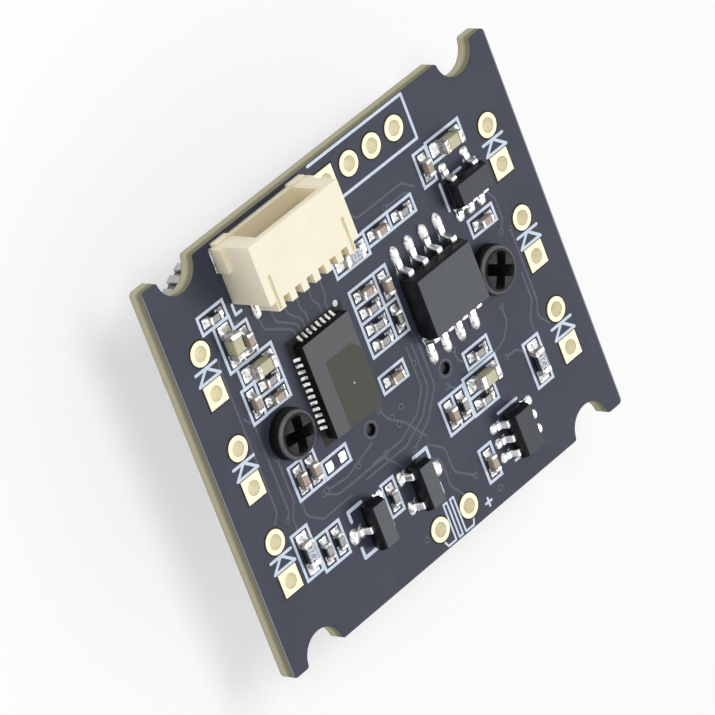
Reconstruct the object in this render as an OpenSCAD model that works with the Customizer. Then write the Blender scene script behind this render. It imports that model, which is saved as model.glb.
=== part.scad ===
// Camera module: a small circuit board with its parts on one face and a screw-in lens on the other.
// It stands on the front rim of the lens with the component face up. X runs along the longer board
// edge, Y along the shorter one, and the origin lies under the board's centre in the rim's plane.

/* [Board] */
// Width of the board along X
board_w = 30; // [29.4:0.1:33]
// Depth of the board along Y
board_d = 25; // [24.8:0.1:28]
// Thickness of the board
board_t = 1; // [0.8:0.1:1.6]
// Radius of the board's four corners
corner_r = 0.3; // [0.1:0.05:0.6]
// Radius of the half-round notches in the two long edges
notch_r = 1.5; // [1.2:0.05:1.6]
// Distance from a short edge to a notch centre
notch_inset = 2.8; // [2.6:0.05:3]
// Radius that eases each notch into the board edge
notch_flare = 0.2; // [0.1:0.05:0.3]
// Radius of the locating holes
locating_r = 0.35; // [0.3:0.01:0.45]
// Distance of the locating holes from the Y axis
locating_x = 3.36; // [3.2:0.02:3.6]
// Distance of the locating holes below the X axis
locating_y = 3.2; // [3:0.05:3.6]

/* [Plated holes] */
// Width of a plated pad
pad_w = 1.5; // [1.3:0.05:1.7]
// Radius of a plated hole
hole_r = 0.45; // [0.35:0.01:0.5]
// Thickness of the pads
foil_t = 0.05; // [0.03:0.01:0.08]
// Distance from a short edge to the row of diode pads
led_inset = 2.3; // [2.2:0.05:2.5]
// Spacing of the two pads of one diode
led_pitch = 2.54; // [2.3:0.02:2.7]
// Spacing from one diode to the next
led_step = 6.1; // [5.6:0.1:6.4]
// Spacing of the header pads
header_pitch = 2; // [1.9:0.02:2.1]
// Centre of the first header pad along X
header_x = 0.09; // [0:0.01:0.2]
// Distance from the far long edge to the header row
header_inset = 1.55; // [1.4:0.05:1.7]
// Spacing of the two output pads
output_pitch = 2.6; // [2.5:0.05:3]
// Distance from the near long edge to the output pads
output_inset = 1.37; // [1.2:0.01:1.5]

/* [Printed legend] */
// Thickness of the ink
ink_t = 0.03; // [0.02:0.01:0.05]
// Width of a printed line
line_w = 0.18; // [0.12:0.01:0.22]

/* [Connector] */
// Number of contacts
conn_ways = 6; // [4:1:6]
// Spacing of the contacts
conn_pitch = 1; // [0.9:0.02:1.05]
// Plastic beyond the outer contacts on each side
conn_side = 1.33; // [1.2:0.01:1.5]
// Depth of the housing body
conn_body_d = 3.7; // [3.4:0.1:4]
// Height of the housing
conn_h = 3; // [2.7:0.05:3.4]
// Wall above and below the mouth
conn_wall = 0.45; // [0.35:0.01:0.5]
// Depth of the mouth
conn_mouth_d = 3; // [2.4:0.1:3.1]
// Distance from the far board edge to the mouth
conn_setback = 0.28; // [0.2:0.01:0.4]
// Centre of the connector along X
conn_x = -5.42; // [-5.6:0.01:-5.3]
// Width of one contact
contact_w = 0.3; // [0.2:0.01:0.34]

/* [Chips] */
// Width of the controller along X
ctrl_w = 4; // [3.8:0.05:4.2]
// Depth of the controller along Y
ctrl_d = 6; // [5.6:0.1:6.2]
// Height of the controller
ctrl_h = 0.85; // [0.7:0.05:1]
// Spacing of the controller's terminals
ctrl_pitch = 0.4; // [0.36:0.01:0.42]
// Body width of the memory chip along X
mem_w = 4.9; // [4.7:0.05:5.1]
// Body depth of the memory chip along Y
mem_d = 3.9; // [3.7:0.05:4.1]
// Height of the memory chip's body
mem_h = 1.45; // [1.2:0.05:1.6]
// Spacing of the memory chip's leads
mem_pitch = 1.27; // [1.2:0.01:1.3]
// Length of a small-outline body, along its row of leads
sot_l = 2.9; // [2.8:0.05:3]
// Body width of the five-lead and six-lead parts
sot_w = 1.6; // [1.5:0.05:1.7]
// Body width of the three-lead parts
tri_w = 1.3; // [1.2:0.05:1.4]
// Height of the small-outline bodies
sot_h = 1.1; // [0.9:0.05:1.2]
// Spacing of the small-outline leads
sot_pitch = 0.95; // [0.9:0.01:0.97]

/* [Small parts] */
// Length of a large chip part
large_l = 1.6; // [1.5:0.05:1.7]
// Width of a large chip part
large_w = 0.8; // [0.75:0.01:0.9]
// Height of a large capacitor
large_cap_h = 0.8; // [0.7:0.05:0.95]
// Height of a large resistor
large_res_h = 0.45; // [0.4:0.05:0.55]
// Length of a small chip part
small_l = 1; // [0.95:0.01:1.05]
// Width of a small chip part
small_w = 0.5; // [0.45:0.01:0.55]
// Height of a small capacitor
small_cap_h = 0.5; // [0.4:0.05:0.6]
// Height of a small resistor
small_res_h = 0.35; // [0.3:0.01:0.4]
// Share of a chip part's length that each end cap takes
cap_share = 0.22; // [0.18:0.01:0.28]

/* [Lens] */
// Distance from the back of the board to the front rim of the lens
lens_reach = 12.1; // [11.4:0.05:13.4]
// Distance of the lens axis from the line through the screws
lens_y = 0.4; // [0:0.05:0.6]
// Radius of the knurled finger ring
ring_r = 5.75; // [5.6:0.05:6]
// Length of the finger ring
ring_l = 2.6; // [2:0.1:2.8]
// Length of the knurled part of the ring
knurl_l = 1.2; // [0.8:0.1:1.5]
// Depth of the knurl
knurl_depth = 0.25; // [0.15:0.01:0.35]
// Number of knurl ribs
knurl_count = 40; // [30:1:50]
// Crest radius of the lens thread
thread_r = 4.95; // [4.8:0.01:5]
// Pitch of the lens thread
thread_pitch = 0.5; // [0.45:0.05:0.6]
// Radius of the bore that holds the glass
glass_bore_r = 3.6; // [3.3:0.05:3.7]
// Edge thickness of a glass lens
glass_edge_t = 0.8; // [0.6:0.05:1]
// Surface radius of the front lens
front_glass_r = 8; // [7:0.1:10]
// Surface radius of the rear lens
rear_glass_r = 9; // [8:0.1:12]

/* [Lens holder] */
// Radial wall of the holder tube
holder_wall = 1.2; // [0.9:0.05:1.4]
// Side of the square foot of the holder
foot_w = 14; // [13.4:0.1:15]
// Thickness of the foot
foot_t = 1.5; // [1.2:0.1:1.8]
// Distance of each screw from the middle of the board
screw_x = 9; // [8.8:0.05:9.6]
// Radius of the screw bosses
boss_r = 1.9; // [1.7:0.05:2.1]
// Length of the screw bosses
boss_l = 3.5; // [3.3:0.1:4]
// Radius of the screw shank
shank_r = 0.85; // [0.7:0.01:0.95]
// Length of the screw under its head
shank_l = 4; // [3.6:0.1:4.2]
// Radius of the screw head
head_r = 1.5; // [1.45:0.01:1.6]
// Height of the screw head
head_h = 1; // [0.9:0.05:1.3]
// Rounding of the head's edge
head_edge_r = 0.25; // [0.1:0.05:0.3]
// Width of one slot of the cross recess
recess_w = 0.68; // [0.4:0.02:0.7]
// Length of one slot of the cross recess
recess_l = 2.2; // [1.8:0.05:2.25]
// Depth of the cross recess
recess_depth = 0.7; // [0.4:0.05:0.8]

/* [Sensor] */
// Side of the image sensor package
sensor_w = 4.6; // [4.2:0.1:5]
// Height of the sensor package
sensor_h = 0.8; // [0.6:0.05:0.9]
// Thickness of the sensor's cover glass
cover_t = 0.4; // [0.3:0.05:0.5]
// Side of the infrared filter
filter_w = 6.4; // [6.2:0.1:6.7]
// Thickness of the infrared filter
filter_t = 0.4; // [0.3:0.05:0.5]

/* [Hidden] */
$fn = 48;

// A cut runs this far past the face that it opens
over = 0.5;
// Play between pieces that slide together or are glued
play = 0.03;
// Heights of the board's two faces
back_z = lens_reach;
top_z = lens_reach + board_t;

// Places on the component face, as [x, y, turn], laid out on a board of this width and depth
layout = [30, 25];

// Spreads places from the layout over the board
function spread(places) = [for (p = places) [p[0] * board_w / layout[0], p[1] * board_d / layout[1], p[2]]];

LARGE_CAPACITORS = spread([[-10.54, 6.65, 90], [-9.24, 4.53, 0], [9.3, 8.26, 0], [5.66, -5.17, 0]]);
SMALL_CAPACITORS = spread([[-9.34, 6.23, 90], [-10.47, 2.83, 90], [-8.86, 2.33, 0], [-9.42, -2.8, 90],
    [-8.36, -2.8, 90], [2.3, 6.48, 0], [-0.24, 3.97, 0], [1.35, 3.44, 90], [-0.45, -1.47, 0],
    [7.22, 7.75, 90], [9.83, 2.75, 0], [2.49, -5.79, 90], [3.95, -9.87, 90]]);
MARKED_RESISTORS = spread([[-10.87, -6.7, 90], [10.02, -6.72, 90], [-0.22, 6.3, 0]]);
BOARD_RESISTORS = spread([[-8.86, 3.39, 0], [-9.54, -7.38, 90], [-8.48, -7.38, 90],
    [-3.7, -7.47, 90], [4.42, 6.48, 0], [-0.24, 2.91, 0], [-0.24, 1.85, 0], [-0.24, 0.79, 0],
    [1.35, 1.32, 90], [5.97, -3.72, 0], [3.55, -5.79, 90], [5.25, -6.37, 0]]);
EMPTY_PLACE = spread([[-6.56, -3.34, 0]])[0];
CONTROLLER_AT = spread([[-4.48, 1.14, 0]])[0];
MEMORY_AT = spread([[4.7, 1.29, 0]])[0];
REGULATOR_AT = spread([[9.36, 5.42, 90]])[0];
LEFT_TRANSISTOR_AT = spread([[-5.71, -7.88, 0]])[0];
RIGHT_TRANSISTOR_AT = spread([[-1.51, -7.88, 180]])[0];
SWITCH_AT = spread([[6.65, -9.27, 0]])[0];

// Printed outline around a small and a large chip part
small_cell = [2.12, 1.06];
large_cell = [2.9, 1.34];
// Lands of the chip parts: half the gap between them, outer reach and width
small_land = [0.28, 0.83, 0.6];
large_land = [0.52, 1.28, 0.86];
// Height of a solder fillet against an end cap, and its middle as shares of reach and height
fillet_h = 0.28;
fillet_mid = [0.5, 0.35];

// Plated holes
pad_z = foil_t;
header_count = 4;
diode_count = 3;
led_x = board_w / 2 - led_inset;
header_y = board_d / 2 - header_inset;
output_y = -board_d / 2 + output_inset;

// Connector, seen from its mouth: Y runs from the mouth towards the rear as negative
conn_y = board_d / 2 - conn_setback;
conn_span = (conn_ways - 1) * conn_pitch;
conn_w = conn_span + 2 * conn_side;
mouth_side = 1.17;
mouth_w = conn_w - 2 * mouth_side;
slot_w = conn_pitch / 2;
tooth_l = 0.6;
tooth_h = 1.6;
comb_inset = 0.48;
comb_w = conn_w - 2 * comb_inset;
contact_t = 0.2;
contact_z = 1.5;
blade_inset = 0.9;
leg_gap = 0.15;
foot_l = 0.9;
conn_land = [0.6, 1.6];
tab_l = 1.55;
tab_t = 0.15;
tab_foot = 0.25;
tab_from = 0.05;
tab_land_over = 0.05;
ear_w = 0.27;
ear_top = 1;
groove_w = 0.22;
groove_l = 1.6;
groove_depth = 0.15;
groove_x = conn_span / 2 + conn_side / 2;
corner_post = [1.2, 0.14, 0.5];
// One resistor lies beside the connector: distances from its side and its mouth
beside_connector = [1.71, 3.56];
SMALL_RESISTORS = concat(BOARD_RESISTORS,
    [[conn_x - conn_w / 2 - beside_connector[0], conn_y - beside_connector[1], 0]]);

// Chips
standoff = 0.06;
mem_standoff = 0.12;
draft = 0.12;
lead_t = 0.14;
lead_bend = 0.35;
mem_lead_l = 1.05;
mem_foot = mem_d / 2 + mem_lead_l;
mem_land_w = 0.68;
mem_land_from = 0.1;
mem_land_to = 1.91;
mem_land = [mem_land_w, mem_d / 2 + mem_land_from, mem_d / 2 + mem_land_to];
mem_lead_w = 0.42;
mem_leads = 4;
sot_lead_l = 0.62;
sot_foot = sot_w / 2 + sot_lead_l;
sot_land_w = 0.66;
sot_land_from = 0.15;
sot_land_to = 1.1;
sot_land = [sot_land_w, sot_w / 2 + sot_land_from, sot_w / 2 + sot_land_to];
sot_lead_w = 0.4;
sot_leads = 3;
tri_lead_l = 0.57;
tri_foot = tri_w / 2 + tri_lead_l;
tri_pitch = 2 * sot_pitch;
tri_land_w = 0.9;
tri_land_to = 0.8;
tri_land = [tri_land_w, tri_w / 2, tri_w / 2 + tri_land_to];
tri_single_w = 1;
tri_single_to = 1.33;
tri_single_land = [tri_single_w, tri_w / 2 + sot_land_from, tri_w / 2 + tri_single_to];
ctrl_long = 12;
ctrl_short = 8;
ctrl_pin_w = 0.22;
ctrl_pin_out = 0.32;
ctrl_pin_in = 0.1;
ctrl_fillet_h = 0.3;

// Printed marks that belong to the parts
header_frame_end = 1.36;
header_frame_half = 1.43;
header_frame_gap = 0.55;
symbol_half_w = 0.87;
symbol_top_gap = 0.17;
symbol_base_gap = 0.13;
corner_mark = [0.12, 0.47, 0.62];
ink_gap = 0.02;
first_pin_r = 0.19;
first_pin_gap = 0.42;
bracket_half = 1.5;
bracket_end = 0.88;
bracket_in = 0.25;
bracket_out = 1.4;
bracket_line = 0.22;
end_line_gap = 0.12;
end_line_half = 0.85;
coil_lane = 0.3;
coil_inset = 0.18;
coil_rise = 2.3;
coil_foot = 0.3;
coil_line = 0.13;
plus_half = 0.25;
plus_line = 0.15;
plus_at = [1.5, -0.67];

// Lens, from the rim upwards
rim_w = 1.1;
crest_gap = 0.03;
rim_r = ring_r - crest_gap - knurl_depth;
ring_edge = 0.15;
hood_r = rim_r - rim_w;
// Corners of one rib: place as a share of the rib spacing, height as a share of the knurl depth
rib_corners = [[-0.27, 1], [0.27, 1], [0.34, 0], [0.66, 0]];
hood_l = 0.5;
hood_ring_gap = 0.1;
glass_z = 1.3;
seat_w = 0.9;
clear_r = glass_bore_r - seat_w;
lip_l = 0.7;
thread_depth = 0.27;

// Sensor chamber, ledge and filter, from the board downwards
chamber_h = 1.9;
chamber_gap = 0.4;
chamber_w = sensor_w + 2 * chamber_gap;
ledge_t = 0.6;
ledge_z = back_z - chamber_h - ledge_t;
light_r = 2.9;
filter_z = ledge_z - filter_t;
filter_gap = 0.4;
barrel_l = filter_z - filter_gap;
rear_glass_z = barrel_l - lip_l - glass_edge_t;
run_gap = 0.4;
holder_front_z = ring_l + run_gap;
thread_gap = 0.05;
lens_bore_r = thread_r + thread_gap;
holder_r = lens_bore_r + holder_wall;
peg_gap = 0.05;
peg_r = locating_r - peg_gap;
peg_below = 0.25;
pilot_gap = 0.01;
pilot_r = shank_r + pilot_gap;
screw_gap = 0.15;
screw_hole_r = shank_r + screw_gap;
screw_turns = [-9, -30];

// Puts an outline at a place [x, y, turn]
module at(place) {
    translate([place[0], place[1]]) rotate(place[2]) children();
}

// Puts what follows on the component face at a place [x, y, turn]
module on_board(place) {
    translate([place[0], place[1], top_z]) rotate(place[2]) children();
}

// Block centred in X and Y on its underside
module block(size, z = 0) {
    translate([-size[0] / 2, -size[1] / 2, z]) cube(size);
}

// Rectangle centred on the origin with four round corners
module round_rectangle(w, d, r) {
    square([w - 2 * r, d], center = true);
    square([w, d - 2 * r], center = true);
    for (x = [-1, 1], y = [-1, 1]) translate([x * (w / 2 - r), y * (d / 2 - r)]) circle(r);
}

// Outline of one notch, for an edge at y = 0 with the board below it
module notch_outline() {
    flare_x = sqrt(pow(notch_r + notch_flare, 2) - pow(notch_flare, 2));
    circle(notch_r);
    for (side = [-1, 1])
        difference() {
            polygon([[0, 0], [0, notch_flare], [side * flare_x, notch_flare],
                [side * flare_x, -notch_flare]]);
            translate([side * flare_x, -notch_flare]) circle(notch_flare);
        }
}

// Centres of the plated holes
diode_places = [for (side = [-1, 1], i = [0:diode_count - 1], pin = [-1, 1])
    [side * led_x, (i - (diode_count - 1) / 2) * led_step + pin * led_pitch / 2, pin]];
header_places = [for (i = [0:header_count - 1]) [header_x + i * header_pitch, header_y, i == 0 ? -1 : 1]];
output_places = [for (side = [-1, 1]) [side * output_pitch / 2, output_y, 1]];

module circuit_board() {
    color("#3c4148") translate([0, 0, back_z]) linear_extrude(board_t) difference() {
        round_rectangle(board_w, board_d, corner_r);
        for (side = [-1, 1], edge = [0, 1])
            mirror([0, edge, 0]) translate([side * (board_w / 2 - notch_inset), board_d / 2]) notch_outline();
        for (place = concat(diode_places, header_places, output_places))
            translate([place[0], place[1]]) circle(hole_r);
        for (side = [-1, 1]) {
            translate([side * locating_x, -locating_y]) circle(locating_r);
            translate([side * screw_x, 0]) circle(screw_hole_r);
        }
    }
}

// Outline of a plated pad; shape is -1 for a square pad and 1 for a round one
module pad_outline(shape, gap = 0) {
    if (shape < 0) square(pad_w + 2 * gap, center = true);
    else circle(pad_w / 2 + gap);
}

// Pads of one plated hole, one on each face
module hole_pads(shape) {
    for (z = [-board_t - foil_t, 0]) translate([0, 0, z]) linear_extrude(foil_t) difference() {
        pad_outline(shape);
        circle(hole_r);
    }
}

module diode_pads() {
    color("#d9c27a") for (place = diode_places) on_board([place[0], place[1], 0]) hole_pads(place[2]);
}

module header_pads() {
    color("#d9c27a") for (place = header_places) on_board([place[0], place[1], 0]) hole_pads(place[2]);
}

module output_pads() {
    color("#d9c27a") for (place = output_places) on_board([place[0], place[1], 0]) hole_pads(place[2]);
}

// Printed legend

// Printed line from a to b with round ends
module stroke(a, b, width = line_w) {
    length = norm(b - a);
    translate(a) rotate(atan2(b[1] - a[1], b[0] - a[0])) {
        translate([0, -width / 2]) square([length, width]);
        circle(width / 2);
        translate([length, 0]) circle(width / 2);
    }
}

// Printed line through a list of points
module path(points, width = line_w) {
    for (i = [0:len(points) - 2]) stroke(points[i], points[i + 1], width);
}

// Printed outline of a rectangle of a given size
module frame_outline(size) {
    difference() {
        square([size[0] + line_w, size[1] + line_w], center = true);
        square([size[0] - line_w, size[1] - line_w], center = true);
    }
}

// Diode symbol between a round pad above and a square pad below
module diode_symbol() {
    bar_y = led_pitch / 2 - pad_w / 2 - symbol_top_gap;
    base_y = -led_pitch / 2 + pad_w / 2 + symbol_base_gap;
    stroke([-symbol_half_w, bar_y], [symbol_half_w, bar_y]);
    path([[0, bar_y], [-symbol_half_w, base_y], [symbol_half_w, base_y], [0, bar_y]]);
}

// Frame of the header row, open where the connector stands
module header_frame() {
    left = conn_x + conn_w / 2 + tab_foot + header_frame_gap;
    right = header_x + (header_count - 1) * header_pitch + header_frame_end;
    path([[left, header_y - header_frame_half], [right, header_y - header_frame_half],
        [right, header_y + header_frame_half], [left, header_y + header_frame_half]]);
}

// Corner mark at the left rear of the connector
module connector_mark() {
    translate([conn_x - conn_w / 2 - corner_mark[0], conn_y - conn_body_d])
        path([[0, 0], [0, -corner_mark[2]], [corner_mark[1], -corner_mark[2]]]);
}

// Bracket beside the single lead of a transistor
module transistor_bracket() {
    for (side = [-1, 1])
        path([[-bracket_in, side * bracket_half], [-bracket_out, side * bracket_half],
            [-bracket_out, side * bracket_end]], bracket_line);
}

// Lines past the two ends of a small-outline body
module end_lines() {
    for (side = [-1, 1]) translate([0, side * (sot_l / 2 + end_line_gap)])
        stroke([-end_line_half, 0], [end_line_half, 0]);
}

// Line that winds up and down between the two output pads
module winding_line() {
    low = -board_d / 2 + coil_inset;
    high = low + coil_rise;
    end = output_pitch / 2;
    path([[-end, low + coil_foot], [-end + coil_foot / 2, low], [-1.5 * coil_lane, low],
        [-1.5 * coil_lane, high], [-coil_lane / 2, high], [-coil_lane / 2, low], [coil_lane / 2, low],
        [coil_lane / 2, high], [1.5 * coil_lane, high], [1.5 * coil_lane, low],
        [end - coil_foot / 2, low], [end, low + coil_foot]], coil_line);
}

// All printed lines and marks
module legend_marks() {
    for (place = concat(SMALL_CAPACITORS, SMALL_RESISTORS, [EMPTY_PLACE]))
        at(place) frame_outline(small_cell);
    for (place = concat(LARGE_CAPACITORS, MARKED_RESISTORS)) at(place) frame_outline(large_cell);
    for (side = [-1, 1], i = [0:diode_count - 1])
        translate([side * led_x, (i - (diode_count - 1) / 2) * led_step]) diode_symbol();
    header_frame();
    connector_mark();
    translate([CONTROLLER_AT[0] + ctrl_w / 2, CONTROLLER_AT[1] + ctrl_d / 2 + first_pin_gap])
        circle(first_pin_r);
    for (place = [LEFT_TRANSISTOR_AT, RIGHT_TRANSISTOR_AT]) at(place) transistor_bracket();
    for (place = [REGULATOR_AT, SWITCH_AT]) at(place) end_lines();
    // Short bar between the two leads on the far side of the regulator
    translate([REGULATOR_AT[0], REGULATOR_AT[1] + sot_w / 2 + line_w / 2])
        stroke([-sot_pitch / 3, 0], [sot_pitch / 3, 0]);
    winding_line();
    translate([output_pitch / 2 + plus_at[0], output_y + plus_at[1]]) for (turn = [0, 90])
        rotate(turn) stroke([-plus_half, 0], [plus_half, 0], plus_line);
}

// The ink stays off the plated pads and the chips' lands
module printed_legend() {
    color("#e8edf2") translate([0, 0, top_z]) linear_extrude(ink_t) difference() {
        legend_marks();
        for (place = concat(diode_places, header_places, output_places))
            translate([place[0], place[1]]) pad_outline(place[2], ink_gap);
        chip_land_outlines();
    }
}

// Connector

module connector_housing() {
    color("#f3edd8") on_board([conn_x, conn_y, 0]) difference() {
        union() {
            translate([-conn_w / 2, -conn_body_d, 0]) cube([conn_w, conn_body_d, conn_h]);
            for (side = [-1, 1])
                translate([side * (conn_w - corner_post[0]) / 2, corner_post[1] / 2, 0])
                    block(corner_post);
            // Ear above each solder tab
            for (side = [-1, 1])
                translate([side * (conn_w + ear_w - over) / 2, -tab_from - tab_l / 2, 0])
                    block([ear_w + over, tab_l, ear_top - tab_t - pad_z], pad_z + tab_t);
            translate([-comb_w / 2, -conn_body_d - tooth_l, conn_h - tooth_h])
                cube([comb_w, tooth_l + over, tooth_h]);
        }
        translate([-mouth_w / 2, -conn_mouth_d, conn_wall])
            cube([mouth_w, conn_mouth_d + over, conn_h - 2 * conn_wall]);
        for (i = [0:conn_ways - 1]) translate([i * conn_pitch - conn_span / 2, 0, 0]) {
            // Open slot in the comb above each contact
            translate([-slot_w / 2, -conn_body_d - tooth_l - over, conn_h - tooth_h - over])
                cube([slot_w, tooth_l + over, tooth_h + 2 * over]);
            // Hole for the contact in the rear wall
            translate([-contact_w / 2 - play, -conn_body_d - over, contact_z - play])
                cube([contact_w + 2 * play, conn_body_d, contact_t + 2 * play]);
        }
        for (side = [-1, 1])
            translate([side * groove_x, -conn_body_d + (groove_l - over) / 2, conn_h - groove_depth])
                block([groove_w, groove_l + over, groove_depth + over]);
    }
}

// One contact: blade in the mouth, leg down the rear and foot on its land
module contact() {
    leg_y = -conn_body_d - leg_gap - contact_t;
    translate([-contact_w / 2, leg_y, 0]) {
        translate([0, 0, contact_z]) cube([contact_w, -leg_y - blade_inset, contact_t]);
        translate([0, 0, pad_z]) cube([contact_w, contact_t, contact_z + contact_t - pad_z]);
        translate([0, -foot_l, pad_z]) cube([contact_w, foot_l + contact_t, contact_t]);
    }
}

module connector_contacts() {
    color("#c9b98c") on_board([conn_x, conn_y, 0])
        for (i = [0:conn_ways - 1]) translate([i * conn_pitch - conn_span / 2, 0, 0]) contact();
}

module connector_tabs() {
    color("#cfd0d2") on_board([conn_x, conn_y, 0]) for (side = [0, 1]) mirror([side, 0, 0])
        translate([conn_w / 2, -tab_l - tab_from, pad_z]) cube([tab_foot, tab_l, tab_t]);
}

// Chips

// Moulded body whose four sides slope to a parting line
module moulded_body(w, d, h, z0 = standoff) {
    mid = h / 2;
    translate([0, 0, z0]) intersection() {
        translate([0, d / 2, 0]) rotate([90, 0, 0]) linear_extrude(d)
            polygon([[-w / 2 + draft, 0], [w / 2 - draft, 0], [w / 2, mid], [w / 2 - draft, h],
                [-w / 2 + draft, h], [-w / 2, mid]]);
        translate([-w / 2, 0, 0]) rotate([90, 0, 90]) linear_extrude(w)
            polygon([[-d / 2 + draft, 0], [d / 2 - draft, 0], [d / 2, mid], [d / 2 - draft, h],
                [-d / 2 + draft, h], [-d / 2, mid]]);
    }
}

// Bent lead that leaves a body at x = from and stands on its land out to x = foot
module gull_lead(from, foot, exit_z, width) {
    bend = from + (foot - from) * lead_bend;
    translate([0, width / 2, 0]) rotate([90, 0, 0]) linear_extrude(width)
        polygon([[from, exit_z - lead_t / 2], [bend - lead_t, exit_z - lead_t / 2], [bend, pad_z],
            [foot, pad_z], [foot, pad_z + lead_t], [bend + lead_t, pad_z + lead_t],
            [bend, exit_z + lead_t / 2], [from, exit_z + lead_t / 2]]);
}

// Outline of a land with a width, an inner and an outer reach, and a round outer end where asked
module land_outline(size, round_end = false) {
    length = size[2] - size[1];
    translate([size[1], -size[0] / 2]) square([length - (round_end ? size[0] / 2 : 0), size[0]]);
    if (round_end) translate([size[2] - size[0] / 2, 0]) circle(size[0] / 2);
}

module controller_chip() {
    color("#4b4d50") on_board(CONTROLLER_AT) block([ctrl_w, ctrl_d, ctrl_h - pad_z], pad_z);
}

// Terminals along one side of the controller, each with a fillet of solder against the body
module terminal_row(count, edge) {
    for (i = [0:count - 1])
        translate([edge, (i - (count - 1) / 2) * ctrl_pitch + ctrl_pin_w / 2, 0]) rotate([90, 0, 0])
            linear_extrude(ctrl_pin_w)
                polygon([[-ctrl_pin_in, 0], [ctrl_pin_out, 0], [ctrl_pin_out, pad_z],
                    [ctrl_pin_out * fillet_mid[0], pad_z + ctrl_fillet_h * fillet_mid[1]],
                    [0, pad_z + ctrl_fillet_h], [0, pad_z], [-ctrl_pin_in, pad_z]]);
}

module controller_terminals() {
    color("#d8dadc") on_board(CONTROLLER_AT) for (turn = [0, 180]) {
        rotate(turn) terminal_row(ctrl_long, ctrl_w / 2);
        rotate(turn + 90) terminal_row(ctrl_short, ctrl_d / 2);
    }
}

module memory_chip() {
    color("#55575a") on_board(MEMORY_AT) moulded_body(mem_w, mem_d, mem_h, mem_standoff);
}

// Leads, or what else children give, on both sides of a part with its rows along Y
module both_rows(count, pitch) {
    for (turn = [0, 180], i = [0:count - 1])
        rotate(turn) translate([0, (i - (count - 1) / 2) * pitch, 0]) children();
}

module memory_leads() {
    color("#d8dadc") on_board(MEMORY_AT) rotate(90) both_rows(mem_leads, mem_pitch)
        gull_lead(mem_d / 2, mem_foot, mem_standoff + mem_h / 2, mem_lead_w);
}

module regulator() {
    color("#47494c") on_board(REGULATOR_AT) moulded_body(sot_w, sot_l, sot_h);
}

module sot_lead() {
    gull_lead(sot_w / 2, sot_foot, standoff + sot_h / 2, sot_lead_w);
}

// Two leads or lands on one side of a part and three on the other
module two_and_three() {
    for (i = [-1, 1]) translate([0, i * sot_pitch, 0]) children();
    for (i = [-1, 0, 1]) rotate(180) translate([0, i * sot_pitch, 0]) children();
}

module regulator_leads() {
    color("#d8dadc") on_board(REGULATOR_AT) two_and_three() sot_lead();
}

module power_switch() {
    color("#47494c") on_board(SWITCH_AT) moulded_body(sot_w, sot_l, sot_h);
}

module power_switch_leads() {
    color("#d8dadc") on_board(SWITCH_AT) both_rows(sot_leads, sot_pitch) sot_lead();
}

module tri_body(place) {
    on_board(place) moulded_body(tri_w, sot_l, sot_h);
}

module tri_lead() {
    gull_lead(tri_w / 2, tri_foot, standoff + sot_h / 2, sot_lead_w);
}

// Three leads: one on the side that the place's turn puts at -X, and two on the other
module tri_leads(place) {
    on_board(place) {
        rotate(180) tri_lead();
        for (side = [-1, 1]) translate([0, side * tri_pitch / 2, 0]) tri_lead();
    }
}

module left_transistor() {
    color("#47494c") tri_body(LEFT_TRANSISTOR_AT);
}

module left_transistor_leads() {
    color("#d8dadc") tri_leads(LEFT_TRANSISTOR_AT);
}

module right_transistor() {
    color("#47494c") tri_body(RIGHT_TRANSISTOR_AT);
}

module right_transistor_leads() {
    color("#d8dadc") tri_leads(RIGHT_TRANSISTOR_AT);
}

// Outlines of the solder lands under the chips and the connector
module chip_land_outlines() {
    at(MEMORY_AT) rotate(90) both_rows(mem_leads, mem_pitch) land_outline(mem_land, true);
    at(REGULATOR_AT) two_and_three() land_outline(sot_land);
    at(SWITCH_AT) both_rows(sot_leads, sot_pitch) land_outline(sot_land);
    for (place = [LEFT_TRANSISTOR_AT, RIGHT_TRANSISTOR_AT]) at(place) {
        rotate(180) land_outline(tri_single_land);
        for (side = [-1, 1]) translate([0, side * tri_pitch / 2]) land_outline(tri_land);
    }
    at([conn_x, conn_y, 0]) {
        for (i = [0:conn_ways - 1]) translate([i * conn_pitch - conn_span / 2, -conn_body_d - leg_gap])
            rotate(-90) land_outline([conn_land[0], 0, conn_land[1]]);
        for (side = [0, 1]) mirror([side, 0]) translate([conn_w / 2, -tab_from - tab_l])
            square([tab_foot + tab_land_over, tab_l]);
    }
}

module chip_lands() {
    color("#d5d7da") translate([0, 0, top_z]) linear_extrude(pad_z) chip_land_outlines();
}

// Chip parts: a block with an end cap at each end, on two lands

module chip_middle(length, width, height) {
    block([length * (1 - 2 * cap_share), width - 2 * play, height - play], pad_z);
}

module chip_ends(length, width, height) {
    cap_l = length * cap_share;
    for (side = [-1, 1])
        translate([side * (length - cap_l) / 2, 0, 0]) block([cap_l, width, height], pad_z);
}

// Two lands, each with a fillet of solder that climbs the end cap
module solder_pair(length, width, size) {
    for (turn = [0, 180]) rotate(turn) {
        linear_extrude(pad_z) land_outline([size[2], size[0], size[1]]);
        reach = size[1] - length / 2;
        translate([length / 2, width / 2, 0]) rotate([90, 0, 0]) linear_extrude(width)
            polygon([[0, 0], [reach, 0], [reach, pad_z],
                [reach * fillet_mid[0], pad_z + fillet_h * fillet_mid[1]], [0, pad_z + fillet_h]]);
    }
}

module large_capacitors() {
    color("#bdb98f") for (place = LARGE_CAPACITORS)
        on_board(place) chip_middle(large_l, large_w, large_cap_h);
}

module large_capacitor_caps() {
    color("#dcdcd6") for (place = LARGE_CAPACITORS) on_board(place) chip_ends(large_l, large_w, large_cap_h);
}

module small_capacitors() {
    color("#a8937c") for (place = SMALL_CAPACITORS)
        on_board(place) chip_middle(small_l, small_w, small_cap_h);
}

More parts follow.
